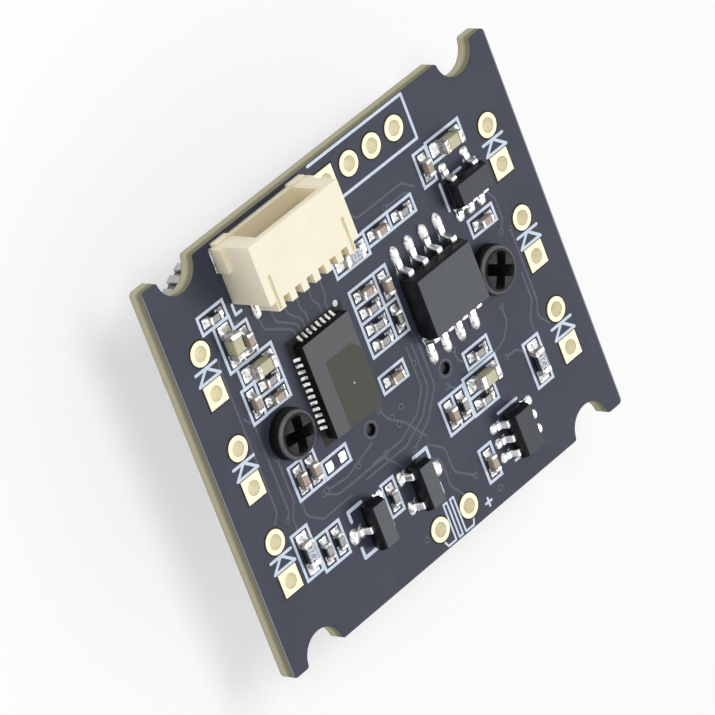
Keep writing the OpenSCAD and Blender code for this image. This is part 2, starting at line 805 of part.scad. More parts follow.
module small_capacitor_caps() {
    color("#dcdcd6") for (place = SMALL_CAPACITORS) on_board(place) chip_ends(small_l, small_w, small_cap_h);
}

module marked_resistors() {
    color("#2c2d2f") for (place = MARKED_RESISTORS)
        on_board(place) chip_middle(large_l, large_w, large_res_h);
}

module marked_resistor_caps() {
    color("#dcdcd6") for (place = MARKED_RESISTORS) on_board(place) chip_ends(large_l, large_w, large_res_h);
}

module small_resistors() {
    color("#2c2d2f") for (place = SMALL_RESISTORS) on_board(place) chip_middle(small_l, small_w, small_res_h);
}

module small_resistor_caps() {
    color("#dcdcd6") for (place = SMALL_RESISTORS) on_board(place) chip_ends(small_l, small_w, small_res_h);
}

module chip_part_solder() {
    color("#d5d7da") {
        for (place = concat(LARGE_CAPACITORS, MARKED_RESISTORS)) on_board(place)
            solder_pair(large_l, large_w, large_land);
        for (place = concat(SMALL_CAPACITORS, SMALL_RESISTORS)) on_board(place)
            solder_pair(small_l, small_w, small_land);
    }
}

module bare_lands() {
    color("#d5d7da") on_board(EMPTY_PLACE) linear_extrude(pad_z)
        for (turn = [0, 180]) rotate(turn) land_outline([small_land[2], small_land[0], small_land[1]]);
}

// Lens holder and lens

// Pan-head screw with a cross recess, its head standing on z = 0
module screw(turn) {
    difference() {
        rotate_extrude() {
            translate([0, -shank_l]) square([shank_r, shank_l + head_h]);
            square([head_r, head_h - head_edge_r]);
            square([head_r - head_edge_r, head_h]);
            translate([head_r - head_edge_r, head_h - head_edge_r]) circle(head_edge_r);
        }
        translate([0, 0, head_h - recess_depth]) rotate(turn) linear_extrude(recess_depth + over) {
            square([recess_l, recess_w], center = true);
            square([recess_w, recess_l], center = true);
        }
    }
}

module lens_screws() {
    color("#1c1c1e") for (i = [0, 1]) on_board([(2 * i - 1) * screw_x, 0, 0]) screw(screw_turns[i]);
}

// Puts what follows on the lens axis
module on_lens_axis() {
    translate([0, lens_y, 0]) children();
}

module lens_holder() {
    color("#202123") difference() {
        union() {
            on_lens_axis() {
                block([foot_w, foot_w, foot_t], back_z - foot_t);
                translate([0, 0, holder_front_z])
                    cylinder(r = holder_r, h = back_z - foot_t + over - holder_front_z);
            }
            for (side = [-1, 1]) {
                translate([side * screw_x, 0, back_z - boss_l]) cylinder(r = boss_r, h = boss_l);
                translate([side * screw_x / 2, 0, 0]) block([screw_x, 2 * boss_r, foot_t], back_z - foot_t);
                translate([side * locating_x, -locating_y, back_z - over])
                    cylinder(r = peg_r, h = board_t - peg_below + over);
            }
        }
        // Bore for the lens, pocket for the filter, light path and sensor chamber
        on_lens_axis() {
            translate([0, 0, holder_front_z - over])
                cylinder(r = lens_bore_r, h = filter_z - holder_front_z + over);
            block([filter_w + 2 * play, filter_w + 2 * play, ledge_z - filter_z + over], filter_z - over);
            translate([0, 0, ledge_z - over]) cylinder(r = light_r, h = ledge_t + 2 * over);
            block([chamber_w, chamber_w, back_z - ledge_z - ledge_t + over], ledge_z + ledge_t);
        }
        for (side = [-1, 1])
            translate([side * screw_x, 0, back_z - boss_l - over])
                cylinder(r = pilot_r, h = boss_l + 2 * over);
    }
}

// Outline of the knurled ring, with flat-topped ribs
function knurl_points() = [for (i = [0:knurl_count - 1], corner = rib_corners)
    let (angle = (i + corner[0]) * 360 / knurl_count, r = rim_r + corner[1] * knurl_depth)
    [r * cos(angle), r * sin(angle)]];

// Section of the threaded shank from z = from to z = to, as grooves one pitch apart
function thread_section(from, to) =
    let (turns = floor((to - from - thread_pitch) / thread_pitch))
    concat([[thread_r - thread_depth, from]],
        [for (i = [0:turns - 1], half = [0, 1])
            [half == 0 ? thread_r - thread_depth : thread_r, from + (i + 0.5 + half / 2) * thread_pitch]],
        [[thread_r - thread_depth, from + (turns + 0.5) * thread_pitch], [thread_r - thread_depth, to]]);

module lens_barrel() {
    color("#b9bcc0") on_lens_axis() difference() {
        union() {
            linear_extrude(knurl_l + ring_edge) polygon(knurl_points());
            rotate_extrude() polygon(concat([[0, knurl_l], [ring_r, knurl_l],
                [ring_r, ring_l - ring_edge], [ring_r - ring_edge, ring_l]],
                thread_section(ring_l, barrel_l), [[0, barrel_l]]));
        }
        // Hood that opens towards the rim, bore for the glass and rear lip
        rotate_extrude() polygon([[0, -over], [hood_r + over, -over], [hood_r, 0], [glass_bore_r, hood_l],
            [glass_bore_r, barrel_l - lip_l], [clear_r, barrel_l - lip_l],
            [clear_r, barrel_l + over], [0, barrel_l + over]]);
    }
}

// Lens with a flat edge ring that stands on z = 0 and a dome on each face within it
module glass_lens(surface_r) {
    dome_r = clear_r - play;
    drop = surface_r - sqrt(surface_r * surface_r - dome_r * dome_r);
    cylinder(r = glass_bore_r - play, h = glass_edge_t);
    intersection() {
        translate([0, 0, -drop]) cylinder(r = dome_r, h = glass_edge_t + 2 * drop);
        translate([0, 0, surface_r - drop]) sphere(surface_r, $fn = 96);
        translate([0, 0, glass_edge_t + drop - surface_r]) sphere(surface_r, $fn = 96);
    }
}

module front_lens() {
    color("#8fb0b8", 0.5) on_lens_axis() translate([0, 0, glass_z]) glass_lens(front_glass_r);
}

module rear_lens() {
    color("#8fb0b8", 0.5) on_lens_axis() translate([0, 0, rear_glass_z]) glass_lens(rear_glass_r);
}

// Ring between z = from and z = to that fits the bore for the glass
module bore_ring(from, to) {
    translate([0, 0, from]) difference() {
        cylinder(r = glass_bore_r - play, h = to - from);
        translate([0, 0, -over]) cylinder(r = clear_r, h = to - from + 2 * over);
    }
}

module spacer_ring() {
    color("#26272a") on_lens_axis() bore_ring(glass_z + glass_edge_t, rear_glass_z);
}

module retaining_ring() {
    color("#26272a") on_lens_axis() bore_ring(hood_l + hood_ring_gap, glass_z);
}

module infrared_filter() {
    color("#9fc4c9", 0.5) on_lens_axis() block([filter_w, filter_w, filter_t], filter_z);
}

module sensor_glass() {
    color("#c9d6d8", 0.5) on_lens_axis() block([sensor_w, sensor_w, cover_t], back_z - sensor_h - cover_t);
}

module image_sensor() {
    color("#3a3d42") on_lens_axis() block([sensor_w, sensor_w, sensor_h], back_z - sensor_h);
}

circuit_board();
diode_pads();
header_pads();
output_pads();
printed_legend();
connector_housing();
connector_contacts();
connector_tabs();
controller_chip();
controller_terminals();
memory_chip();
memory_leads();
regulator();
regulator_leads();
left_transistor();
left_transistor_leads();
right_transistor();
right_transistor_leads();
power_switch();
power_switch_leads();
large_capacitors();
large_capacitor_caps();
small_capacitors();
small_capacitor_caps();
marked_resistors();
marked_resistor_caps();
small_resistors();
small_resistor_caps();
chip_lands();
chip_part_solder();
bare_lands();
lens_screws();
lens_holder();
lens_barrel();
front_lens();
spacer_ring();
rear_lens();
retaining_ring();
infrared_filter();
image_sensor();
sensor_glass();
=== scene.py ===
import math
import random

import bmesh
import bpy
from mathutils import Matrix, Vector


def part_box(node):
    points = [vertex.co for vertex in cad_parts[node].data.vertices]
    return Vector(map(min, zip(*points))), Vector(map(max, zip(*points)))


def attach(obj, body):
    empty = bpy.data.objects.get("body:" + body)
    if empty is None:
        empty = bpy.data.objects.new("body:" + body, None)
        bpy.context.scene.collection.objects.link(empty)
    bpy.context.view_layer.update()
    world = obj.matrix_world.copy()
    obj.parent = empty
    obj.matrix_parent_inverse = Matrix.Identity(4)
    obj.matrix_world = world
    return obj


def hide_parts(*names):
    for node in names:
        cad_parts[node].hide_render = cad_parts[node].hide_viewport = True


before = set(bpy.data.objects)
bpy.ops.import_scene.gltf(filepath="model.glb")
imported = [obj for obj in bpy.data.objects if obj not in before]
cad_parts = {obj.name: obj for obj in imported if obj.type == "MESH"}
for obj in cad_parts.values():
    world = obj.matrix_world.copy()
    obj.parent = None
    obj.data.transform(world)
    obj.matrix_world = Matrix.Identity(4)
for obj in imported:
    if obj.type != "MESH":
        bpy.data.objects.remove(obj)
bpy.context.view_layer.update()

scene = bpy.context.scene
MM = 0.001

# Slopes between which a face changes from a side to a level one
LEVEL_SLOPES = (0.7, 0.9)

# Heights and places in the frame that the pieces share
BOARD_LOW, BOARD_HIGH = (corner.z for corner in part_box("circuit_board"))
PAD_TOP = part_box("chip_lands")[1].z
SCREW_HEAD_R = (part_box("lens_screws")[1].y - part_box("lens_screws")[0].y) / 2 / MM
SCREW_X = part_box("lens_screws")[1].x / MM - SCREW_HEAD_R
SCREW_TURNS = (-9, -30)
LENS_LOW, LENS_HIGH = (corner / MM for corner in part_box("lens_barrel"))
LENS_Y, RING_R = (LENS_LOW.y + LENS_HIGH.y) / 2, (LENS_HIGH.y - LENS_LOW.y) / 2


# Node wiring


class Signal:
    """A value, colour or vector on its way through a node tree; sums on it add Math nodes."""

    def __init__(self, wiring, socket):
        self.wiring, self.socket = wiring, socket

    def out(self, name):
        """Another output of the same node."""
        return Signal(self.wiring, self.socket.node.outputs[name])

    def work(self, operation, *others):
        """A Math node on this signal and the others."""
        return self.wiring.node("ShaderNodeMath", {"operation": operation},
                                dict(enumerate((self, *others))))

    def __add__(self, other):
        return self.work("ADD", other)

    def __sub__(self, other):
        return self.work("SUBTRACT", other)

    def __rsub__(self, other):
        return self.wiring.node("ShaderNodeMath", {"operation": "SUBTRACT"}, {0: other, 1: self})

    def __mul__(self, other):
        return self.work("MULTIPLY", other)

    __radd__, __rmul__ = __add__, __mul__

    def __abs__(self):
        return self.work("ABSOLUTE")

    def __gt__(self, other):
        return self.work("GREATER_THAN", other)

    def __lt__(self, other):
        return self.work("LESS_THAN", other)

    def rise(self, low, high):
        """0 below low, 1 above high, and a soft step between."""
        return self.wiring.node("ShaderNodeMapRange", {"interpolation_type": "SMOOTHSTEP"},
                                {0: self, 1: low, 2: high})


class Wiring:
    """Adds nodes to a tree: settings first, then the values or links of the sockets."""

    def __init__(self, tree):
        self.tree = tree
        tree.nodes.clear()

    def node(self, kind, settings=None, sockets=None, out=0):
        made = self.tree.nodes.new(kind)
        for name, value in (settings or {}).items():
            setattr(made, name, value)
        for key, value in (sockets or {}).items():
            if isinstance(value, Signal):
                self.tree.links.new(value.socket, made.inputs[key])
            else:
                made.inputs[key].default_value = value
        return Signal(self, made.outputs[out]) if len(made.outputs) else None


def paint(red, green, blue):
    """Colour as it shows on a screen, 0 to 255, as the linear colour that a node takes."""
    return tuple(c / 12.92 if c <= 0.04045 else ((c + 0.055) / 1.055) ** 2.4
                 for c in (red / 255, green / 255, blue / 255)) + (1.0,)


class Finish(Wiring):
    """A material: a Principled surface whose constants stand on its own sockets."""

    def __init__(self, name, **constants):
        self.material = bpy.data.materials.new(name)
        self.material.use_nodes = True
        super().__init__(self.material.node_tree)
        self.surface = self.node("ShaderNodeBsdfPrincipled", None,
                                 {key.replace("_", " "): value for key, value in constants.items()})
        self.node("ShaderNodeOutputMaterial", None, {"Surface": self.surface})
        place = self.node("ShaderNodeTexCoord", None, None, "Object")
        # Patterns are laid out in millimetres
        self.place = self.node("ShaderNodeVectorMath", {"operation": "SCALE"}, {0: place, "Scale": 1 / MM})

    def give(self, colour, roughness, relief=None, depth=0.0, **varying):
        """Links what changes over the surface; the relief's height varies by depth, in millimetres."""
        varying.update(Base_Color=colour, Roughness=roughness)
        if depth:
            varying["Normal"] = self.node("ShaderNodeBump", None,
                                          {"Height": relief, "Distance": depth * MM}, "Normal")
        for key, signal in varying.items():
            self.tree.links.new(signal.socket, self.surface.socket.node.inputs[key.replace("_", " ")])
        return self

    def axes(self):
        split = self.node("ShaderNodeSeparateXYZ", None, {0: self.place})
        return split, split.out("Y"), split.out("Z")

    def radius(self, x, y):
        """Distance from an upright axis."""
        flat = self.node("ShaderNodeCombineXYZ", None, {0: x, 1: y})
        return self.node("ShaderNodeVectorMath", {"operation": "LENGTH"}, {0: flat}, "Value")

    def stretched(self, x, y, z):
        """The pattern's place with each axis stretched by its own share."""
        return self.node("ShaderNodeVectorMath", {"operation": "MULTIPLY"}, {0: self.place, 1: (x, y, z)})

    def grain(self, scale, detail=2.0, roughness=0.5, where=None):
        """Soft noise with about scale spots to the millimetre."""
        return self.node("ShaderNodeTexNoise", None,
                         {"Vector": where or self.place, "Scale": scale, "Detail": detail,
                          "Roughness": roughness})

    def cells(self, scale):
        """Distance to the nearest of many loose points, for crystals."""
        return self.node("ShaderNodeTexVoronoi", None, {"Vector": self.place, "Scale": scale}, "Distance")

    def mixed(self, share, first, second):
        """Part of the way from the first colour to the second; plain ones are as a screen shows them."""
        # Sockets 6 and 7 of a Mix node take its colours, and its third output is their mixture
        ends = [tone if isinstance(tone, Signal) else paint(*tone) for tone in (first, second)]
        return self.node("ShaderNodeMix", {"data_type": "RGBA"}, {0: share, 6: ends[0], 7: ends[1]}, 2)

    def slope(self):
        """1 where the surface looks up, 0 where it looks sideways, -1 where it looks down."""
        normal = self.node("ShaderNodeNewGeometry", None, None, "Normal")
        return self.node("ShaderNodeSeparateXYZ", None, {0: normal}).out("Z")

    def top(self):
        """1 on faces that look up, 0 on sides."""
        return self.slope().rise(*LEVEL_SLOPES)

    def level(self):
        """1 on faces that look straight up or down, 0 on sides."""
        return abs(self.slope()).rise(*LEVEL_SLOPES)

    def worn_edges(self):
        """1 on sharp corners, for wear and rubbed plating."""
        return self.node("ShaderNodeNewGeometry", None, None, "Pointiness").rise(0.52, 0.58)


# Finishes


def board_finish():
    """Black solder mask on both faces, bare glass laminate on the cut edges and in the holes."""
    make = Finish("board_mask_and_laminate", IOR=1.5, Specular_IOR_Level=0.1, Coat_Roughness=0.3)
    x, y, z = make.axes()
    face = abs(make.slope()).rise(0.45, 0.75)
    # Copper poured under the mask shows as slightly lighter fields
    pour = make.grain(0.32, 1.0, 0.4).rise(0.46, 0.54)
    mottle = make.grain(2.2, 3.0)
    mask = make.mixed(mottle, (52, 56, 70), (63, 67, 81))
    mask = make.mixed(pour * 0.4, mask, (65, 69, 84))
    # Layers of glass cloth lie along the cut edge
    layer = make.node("ShaderNodeTexWave", {"bands_direction": "Z"},
                      {"Vector": make.place, "Scale": 1.9, "Distortion": 1.2, "Detail": 2.0,
                       "Detail Scale": 3.0})
    fibre = make.grain(6.0, 3.0, 0.6, make.stretched(1, 1, 7))
    laminate = make.mixed(layer * 0.6 + fibre * 0.4, (150, 147, 116), (188, 184, 153))
    laminate = make.mixed(fibre * 0.5, laminate, (216, 211, 186))
    # The cut is darker towards the component face, and the mask laps over both rims
    upper_cut_darkening = z.rise(BOARD_HIGH / MM - 0.62, BOARD_HIGH / MM - 0.3)
    laminate = make.mixed(upper_cut_darkening * 0.62, laminate, (78, 77, 62))
    rim = abs(z - (BOARD_LOW + BOARD_HIGH) / 2 / MM).rise(0.43, 0.475)
    laminate = make.mixed(rim * 0.8, laminate, (58, 61, 66))
    # Painted shade: the laminate in the bare holes in the middle of the board is painted dark inside
    holes = (abs(x) < 11.0) * (abs(y) < 6.0)
    laminate = make.mixed(holes, laminate, (16, 15, 13))
    colour = make.mixed(face, laminate, mask)
    # Painted highlight: a pale line along the rims of the two short sides
    edge_highlight = face * (abs(x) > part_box("circuit_board")[1].x / MM - 0.085)
    colour = make.mixed(edge_highlight * 0.6, colour, (160, 170, 184))
    peel = make.grain(3.4, 2.0)
    weave = make.node("ShaderNodeTexWave", {"bands_direction": "X"}, {"Vector": make.place, "Scale": 1.0})
    height = peel * 0.7 + weave * 0.12 + fibre * (1 - face)
    return make.give(colour, 0.62 - face * 0.2 + mottle * 0.1, height, 0.006, Coat_Weight=face * 0.02)


def track_finish():
    """Solder mask over a copper track: a shade lighter and smoother than the board."""
    make = Finish("mask_over_copper", IOR=1.5, Specular_IOR_Level=0.16, Coat_Weight=0.04,
                  Coat_Roughness=0.3)
    mottle = make.grain(3.0, 2.0)
    return make.give(make.mixed(mottle, (64, 68, 82), (76, 80, 94)), 0.34 + mottle * 0.12,
                     make.grain(5.0), 0.004)


def grained_finish(name, dark, light, scale, detail, rough, spread, depth=0.0, **constants):
    """Plain material: one grain drives its tone, its gloss and, with a depth, its relief."""
    make = Finish(name, **constants)
    grain = make.grain(scale, detail)
    return make.give(make.mixed(grain, dark, light), rough + grain * spread, grain, depth)


def ink_finish():
    make = Finish("white_legend_ink", IOR=1.45)
    wear = make.grain(7.0, 4.0, 0.6)
    body = make.grain(1.4, 2.0)
    colour = make.mixed(body, (196, 212, 234), (224, 234, 247))
    colour = make.mixed(wear.rise(0.6, 0.74) * 0.5, colour, (120, 130, 148))
    return make.give(colour, 0.5 + wear * 0.2, wear, 0.004)


def gold_finish(name, dark, light, metallic, side_shade_share=0.0):
    """Thin gold over nickel: satin, a little scratched, paler where it wears."""
    make = Finish(name, Metallic=metallic)
    rim = (1 - make.level()) * side_shade_share
    cloud = make.grain(2.5, 3.0)
    scratch = make.grain(3.0, 2.0, 0.5, make.stretched(9, 1.5, 1))
    stain = make.grain(4.5, 3.0, 0.6).rise(0.6, 0.72)
    colour = make.mixed(stain * 0.35, make.mixed(cloud, dark, light), (178, 140, 70))
    # Painted shade: the sides of each pad are painted a deeper, darker gold than its top
    colour = make.mixed(rim, colour, (176, 138, 66))
    return make.give(colour, 0.24 + cloud * 0.16 + scratch * 0.08, scratch * 0.5 + cloud, 0.004)


def tin_finish(name, dark, light, roughness):
    """Tinned metal: grey clouds, fine crystals and drawn lines."""
    make = Finish(name, Metallic=1.0)
    cloud = make.grain(2.0, 3.0)
    crystals = make.cells(16.0)
    drawn = make.grain(5.0, 2.0, 0.5, make.stretched(1, 8, 2))
    return make.give(make.mixed(cloud, dark, light), roughness + cloud * 0.12 + drawn * 0.08,
                     crystals * 0.6 + drawn * 0.6, 0.004)


def solder_finish():
    """Reflowed solder: bright, with a frosty grain and darker, rougher patches between, painted in as
    reflections of dark surroundings.
    """
    make = Finish("solder", Metallic=0.9)
    frost = make.grain(9.0, 4.0, 0.65)
    # Painted reflection: dark patches that stand for dark surroundings mirrored in the solder
    dark_reflection_islands = make.grain(3.1, 3.0, 0.6).rise(0.5, 0.6)
    colour = make.mixed(frost, (222, 224, 226), (252, 252, 250))
    colour = make.mixed(dark_reflection_islands * 0.7, colour, (112, 108, 102))
    return make.give(colour, 0.2 + frost * 0.22 + dark_reflection_islands * 0.2, frost + make.cells(6.0) * 0.5, 0.012)


def end_cap_finish():
    """Tinned end of a chip part: bright and stained, with brown flux and darker, rougher patches painted in
    as reflections of dark surroundings.
    """
    make = Finish("end_cap_tin", Metallic=0.8)
    cloud = make.grain(2.6, 3.0, 0.6)
    # Painted reflection: dark patches that stand for dark surroundings mirrored in the tin
    dark_reflection_spots = make.grain(3.6, 3.0, 0.6, make.stretched(1, 1, 2)).rise(0.47, 0.58)
    flux = make.grain(2.1, 2.0, 0.5, make.stretched(1.3, 1, 1)).rise(0.55, 0.66)
    colour = make.mixed(cloud.rise(0.35, 0.65), (176, 170, 166), (250, 248, 244))
    colour = make.mixed(dark_reflection_spots * 0.55, colour, (96, 94, 92))
    colour = make.mixed(flux * 0.5, colour, (176, 142, 122))
    return make.give(colour, 0.28 + cloud * 0.2 + dark_reflection_spots * 0.2, cloud + dark_reflection_spots * 0.5, 0.01)


def nylon_finish():
    """Cream nylon of the connector: moulded, faintly cloudy, light passes a little way in."""
    make = Finish("cream_nylon", IOR=1.53, Subsurface_Weight=0.12, Subsurface_Scale=0.0006)
    cloud = make.grain(0.7, 2.0)
    grain = make.grain(14.0, 3.0)
    colour = make.mixed(cloud, (240, 231, 202), (249, 242, 220))
    # Light that bounces about in the mouth deepens the colour there
    low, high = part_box("connector_housing")
    x, y, z = make.axes()
    side = 1.1
    mouth = (x > low.x / MM + side) * (x < high.x / MM - side)
    mouth = mouth * (z > low.z / MM + 0.3) * (z < high.z / MM - 0.3)
    depth = 1 - y.rise(high.y / MM - 3.2, high.y / MM - 0.1)
    colour = make.mixed(mouth * (0.22 + depth * 0.4), colour, (220, 196, 142))
    return make.give(colour, 0.4 + grain * 0.16, grain, 0.004)


def chip_finish(name, dark, light, shaded_flank=(20, 20, 22)):
    """Moulded plastic: a grey grain on top and black sides, partly a ground finish and partly painted light
    on the top and painted shade on the sides.
    """
    make = Finish(name, IOR=1.5, Specular_IOR_Level=0.25)
    grain = make.grain(22.0, 3.0, 0.6)
    cloud = make.grain(0.9, 2.0)
    # Painted light and shade, partly a ground finish: the top is painted grey, the sides near black
    top = make.top()
    colour = make.mixed(cloud * 0.6 + grain * 0.4, dark, light)
    colour = make.mixed(top, shaded_flank, colour)
    return make.give(colour, 0.32 + top * 0.2 + grain * 0.14, grain, 0.006)


def controller_finish():
    """Flat black package; a darker field is rubbed into its top, with one pale speck."""
    make = Finish("controller_plastic", IOR=1.5, Specular_IOR_Level=0.25)
    low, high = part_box("controller_chip")
    x, y, _ = make.axes()
    grain = make.grain(20.0, 3.0, 0.6)
    left, far = low.x / MM + 1.12, high.y / MM - 1.7
    soft = 0.05
    field = x.rise(left - soft, left + soft) * (1 - y.rise(far - soft, far + soft))
    field = field * (1 - (x + y).rise(high.x / MM + far - 0.75, high.x / MM + far - 0.6))
    speck_x, speck_y = (left + high.x / MM) / 2, (low.y / MM + far) / 2
    speck = (abs(x - speck_x) + abs(y - speck_y)).rise(0.05, 0.12)
    plain = make.mixed(grain, (80, 83, 85), (94, 96, 97))
    rubbed = make.mixed(grain, (60, 61, 54), (72, 73, 65))
    rubbed = make.mixed(speck, (196, 194, 172), rubbed)
    # Painted light and shade, partly a ground finish: the top is painted grey, the sides near black
    top = make.top()
    colour = make.mixed(top, (18, 18, 19), make.mixed(field, plain, rubbed))
    return make.give(colour, 0.38 + top * 0.14 + grain * 0.14, grain, 0.005)


def ceramic_finish(name, dark, light, roughness):
    """Fired ceramic with pits and a cloudy tone."""
    make = Finish(name, IOR=1.6)
    cloud = make.grain(1.8, 3.0)
    pits = make.grain(16.0, 4.0, 0.7)
    return make.give(make.mixed(cloud * 0.7 + pits * 0.3, dark, light), roughness + pits * 0.2, pits, 0.008)


def black_oxide_finish():
    """Blackened steel of the screws, with a pale ring where the head rolls over: partly rubbed to bare metal,
    partly a painted highlight.
    """
    make = Finish("black_oxide", IOR=1.6, Specular_IOR_Level=0.14)
    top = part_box("lens_screws")[1].z / MM
    x, y, z = make.axes()
    cloud = make.grain(4.0, 3.0)
    # Painted shade: the recess is painted deep black, and its radius tells it from the outside of the head
    reach = make.radius(abs(x) - SCREW_X, y)
    recess = (reach < SCREW_HEAD_R * 0.8) * (1 - z.rise(top - 0.32, top - 0.2))
    rings = make.node("ShaderNodeTexWave", {"wave_type": "RINGS", "rings_direction": "Z"},
                      {"Vector": make.place, "Scale": 3.0, "Distortion": 3.0})
    # Painted highlight and wear: a pale, more metallic ring just inside the head's rim
    wear = reach.rise(SCREW_HEAD_R - 0.3, SCREW_HEAD_R - 0.2)
    wear = wear * (1 - reach.rise(SCREW_HEAD_R - 0.1, SCREW_HEAD_R - 0.04)) * (0.6 + cloud * 0.5)
    steel = make.mixed(wear * 0.5, (17, 17, 19), (150, 151, 154))
    return make.give(make.mixed(recess, steel, (6, 6, 7)), 0.42 + cloud * 0.16 + recess * 0.3,
                     rings * 0.4 + cloud, 0.006, Metallic=wear * 0.5)


def holder_finish():
    """Black filled plastic of the lens holder, eroded to a fine matt grain."""
    make = Finish("holder_plastic", IOR=1.5)
    grain = make.grain(12.0, 4.0, 0.65)
    flow = make.grain(0.5, 2.0)
    return make.give(make.mixed(flow, (20, 20, 22), (34, 34, 37)), 0.5 + grain * 0.22, grain, 0.012)


def turned_metal_finish():
    """Turned and anodised aluminium: fine rings around the lens's axis."""
    make = Finish("turned_aluminium", Metallic=0.75)
    x, y, _ = make.axes()
    cloud = make.grain(1.2, 3.0)
    lines = make.grain(1.0, 2.0, 0.6, make.stretched(0.4, 0.4, 26))
    wear = make.worn_edges()
    colour = make.mixed(cloud, (216, 218, 215), (238, 240, 236))
    colour = make.mixed(wear * 0.5, colour, (244, 245, 243))
    # Painted shade: the sides are painted darker and the flutes of the finger ring darker still, and its
    # level faces stay bright
    flute_shade = 1 - make.radius(x, y - LENS_Y).rise(RING_R - 0.22, RING_R - 0.06)
    colour = make.mixed((1 - make.level()) * (0.35 + flute_shade * 0.5), colour, (96, 98, 100))
    return make.give(colour, 0.3 + cloud * 0.1 + lines * 0.12, lines, 0.006)


def glass_finish(name, tint, sheen, film):
    """Coated optical glass: clear, with a coloured film that shows in its reflections."""
    make = Finish(name, Transmission_Weight=1.0, IOR=1.6, Coat_Weight=0.6, Coat_Roughness=0.02,
                  Coat_Tint=paint(*sheen))
    dust = make.grain(5.0, 5.0, 0.7).rise(0.62, 0.8)
    return make.give(make.mixed(dust * 0.2, tint, film), 0.01 + dust * 0.05)


def sensor_finish():
    """Image sensor package: grey ceramic frame around a dark die with a fine pixel sheen."""
    make = Finish("sensor_package", IOR=1.6)
    low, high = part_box("image_sensor")
    x, y, _ = make.axes()
    half = (high.x - low.x) / 2 / MM
    reach = abs(x).work("MAXIMUM", abs(y))
    die = 1 - reach.rise(half * 0.62, half * 0.64)
    grid = make.node("ShaderNodeTexChecker", None, {"Vector": make.place, "Scale": 30.0}, "Fac")
    grain = make.grain(8.0, 3.0)
    frame_tone = make.mixed(grain, (58, 58, 62), (78, 78, 82))
    die_tone = make.mixed(grid * 0.5 + grain * 0.4, (26, 22, 46), (44, 58, 70))
    return make.give(make.mixed(die, frame_tone, die_tone), 0.5 - die * 0.3, Metallic=die * 0.5)


BOARD = board_finish()
TRACK = track_finish()
# Narrow gap in the mask around a pad, where dark laminate shows; the same finish paints the shade in the via
# holes and the dark frame round the controller
DARK_CLEARING_AND_HOLE_SHADE = grained_finish("dark_clearing_and_hole_shade", (14, 14, 13), (30, 29, 24), 9.0, 3.0, 0.7, 0.2)
INK = ink_finish()
GOLD = gold_finish("gold_plating", (224, 211, 164), (238, 229, 190), 0.15, 0.85)
# Painted light: the walls of the plated holes are painted paler and whiter than the pads' gold, so the holes
# look lit inside
LIT_GOLD_WALL = gold_finish("gold_in_the_holes_painted_pale", (255, 246, 214), (255, 252, 234), 0.0)
TIN = tin_finish("tinned_leads", (222, 224, 227), (250, 251, 251), 0.22)
CONTACT = tin_finish("contact_tin", (176, 164, 128), (214, 206, 178), 0.28)
CAP = end_cap_finish()
SOLDER = solder_finish()
NYLON = nylon_finish()
CONTROLLER = controller_finish()
MEMORY = chip_finish("memory_plastic", (76, 79, 85), (88, 91, 97))
SMALL_CHIP = chip_finish("small_chip_plastic", (60, 63, 69), (73, 76, 82))
TRANSISTOR = chip_finish("transistor_plastic", (80, 84, 88), (94, 98, 102))
LARGE_CERAMIC = ceramic_finish("tan_ceramic", (168, 165, 130), (203, 200, 166), 0.42)
SMALL_CERAMIC = ceramic_finish("brown_ceramic", (148, 128, 113), (188, 168, 152), 0.45)
# Dark glass over a resistor, with a slightly wavy surface
GLAZE = grained_finish("resistor_glaze", (16, 16, 18), (32, 32, 36), 3.0, 2.0, 0.3, 0.15, 0.01,
                       IOR=1.52, Coat_Weight=0.5, Coat_Roughness=0.12)
BLACK_OXIDE = black_oxide_finish()
HOLDER = holder_finish()
BARREL = turned_metal_finish()
RING = grained_finish("black_anodised_ring", (18, 18, 20), (34, 34, 37), 10.0, 3.0, 0.45, 0.2,
                      0.005, Metallic=0.7)
LENS_GLASS = glass_finish("coated_glass", (236, 244, 246), (150, 120, 235), (200, 205, 205))
FILTER_GLASS = glass_finish("filter_glass", (176, 226, 222), (235, 120, 120), (190, 200, 200))
SENSOR = sensor_finish()


# Making and placing pieces

# Corners closer than this are one corner, in millimetres: in a CAD node, and in a mesh made here
CAD_CORNER, OWN_CORNER = 0.0005, 0.0002


def shaded(mesh, angle=35):
    """Smooth shading that breaks at sharper edges than the angle; level faces stay plainly flat."""
    mesh.polygons.foreach_set("use_smooth", [True] * len(mesh.polygons))
    mesh.set_sharp_from_angle(angle=math.radians(angle))
    level = 0.99999
    mesh.polygons.foreach_set("use_smooth", [abs(face.normal.z) < level for face in mesh.polygons])
    mesh.update()
    return mesh


def fitted(name, mesh, finish, stands_for=(), body="module"):
    """Puts a finished mesh in the scene as a piece that rides on a body."""
    mesh.name = name
    mesh.materials.clear()
    mesh.materials.append(finish.material)
    piece = bpy.data.objects.new(name, mesh)
    scene.collection.objects.link(piece)
    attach(piece, body)
    if stands_for:
        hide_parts(*stands_for)


def baked(bench):
    """The plain mesh of an object with its modifiers worked in; the object is cleared away."""
    graph = bpy.context.evaluated_depsgraph_get()
    mesh = bpy.data.meshes.new_from_object(bench.evaluated_get(graph))
    bpy.data.objects.remove(bench)
    return mesh


def on_bench(name, mesh):
    bench = bpy.data.objects.new(name, mesh)
    scene.collection.objects.link(bench)
    return bench


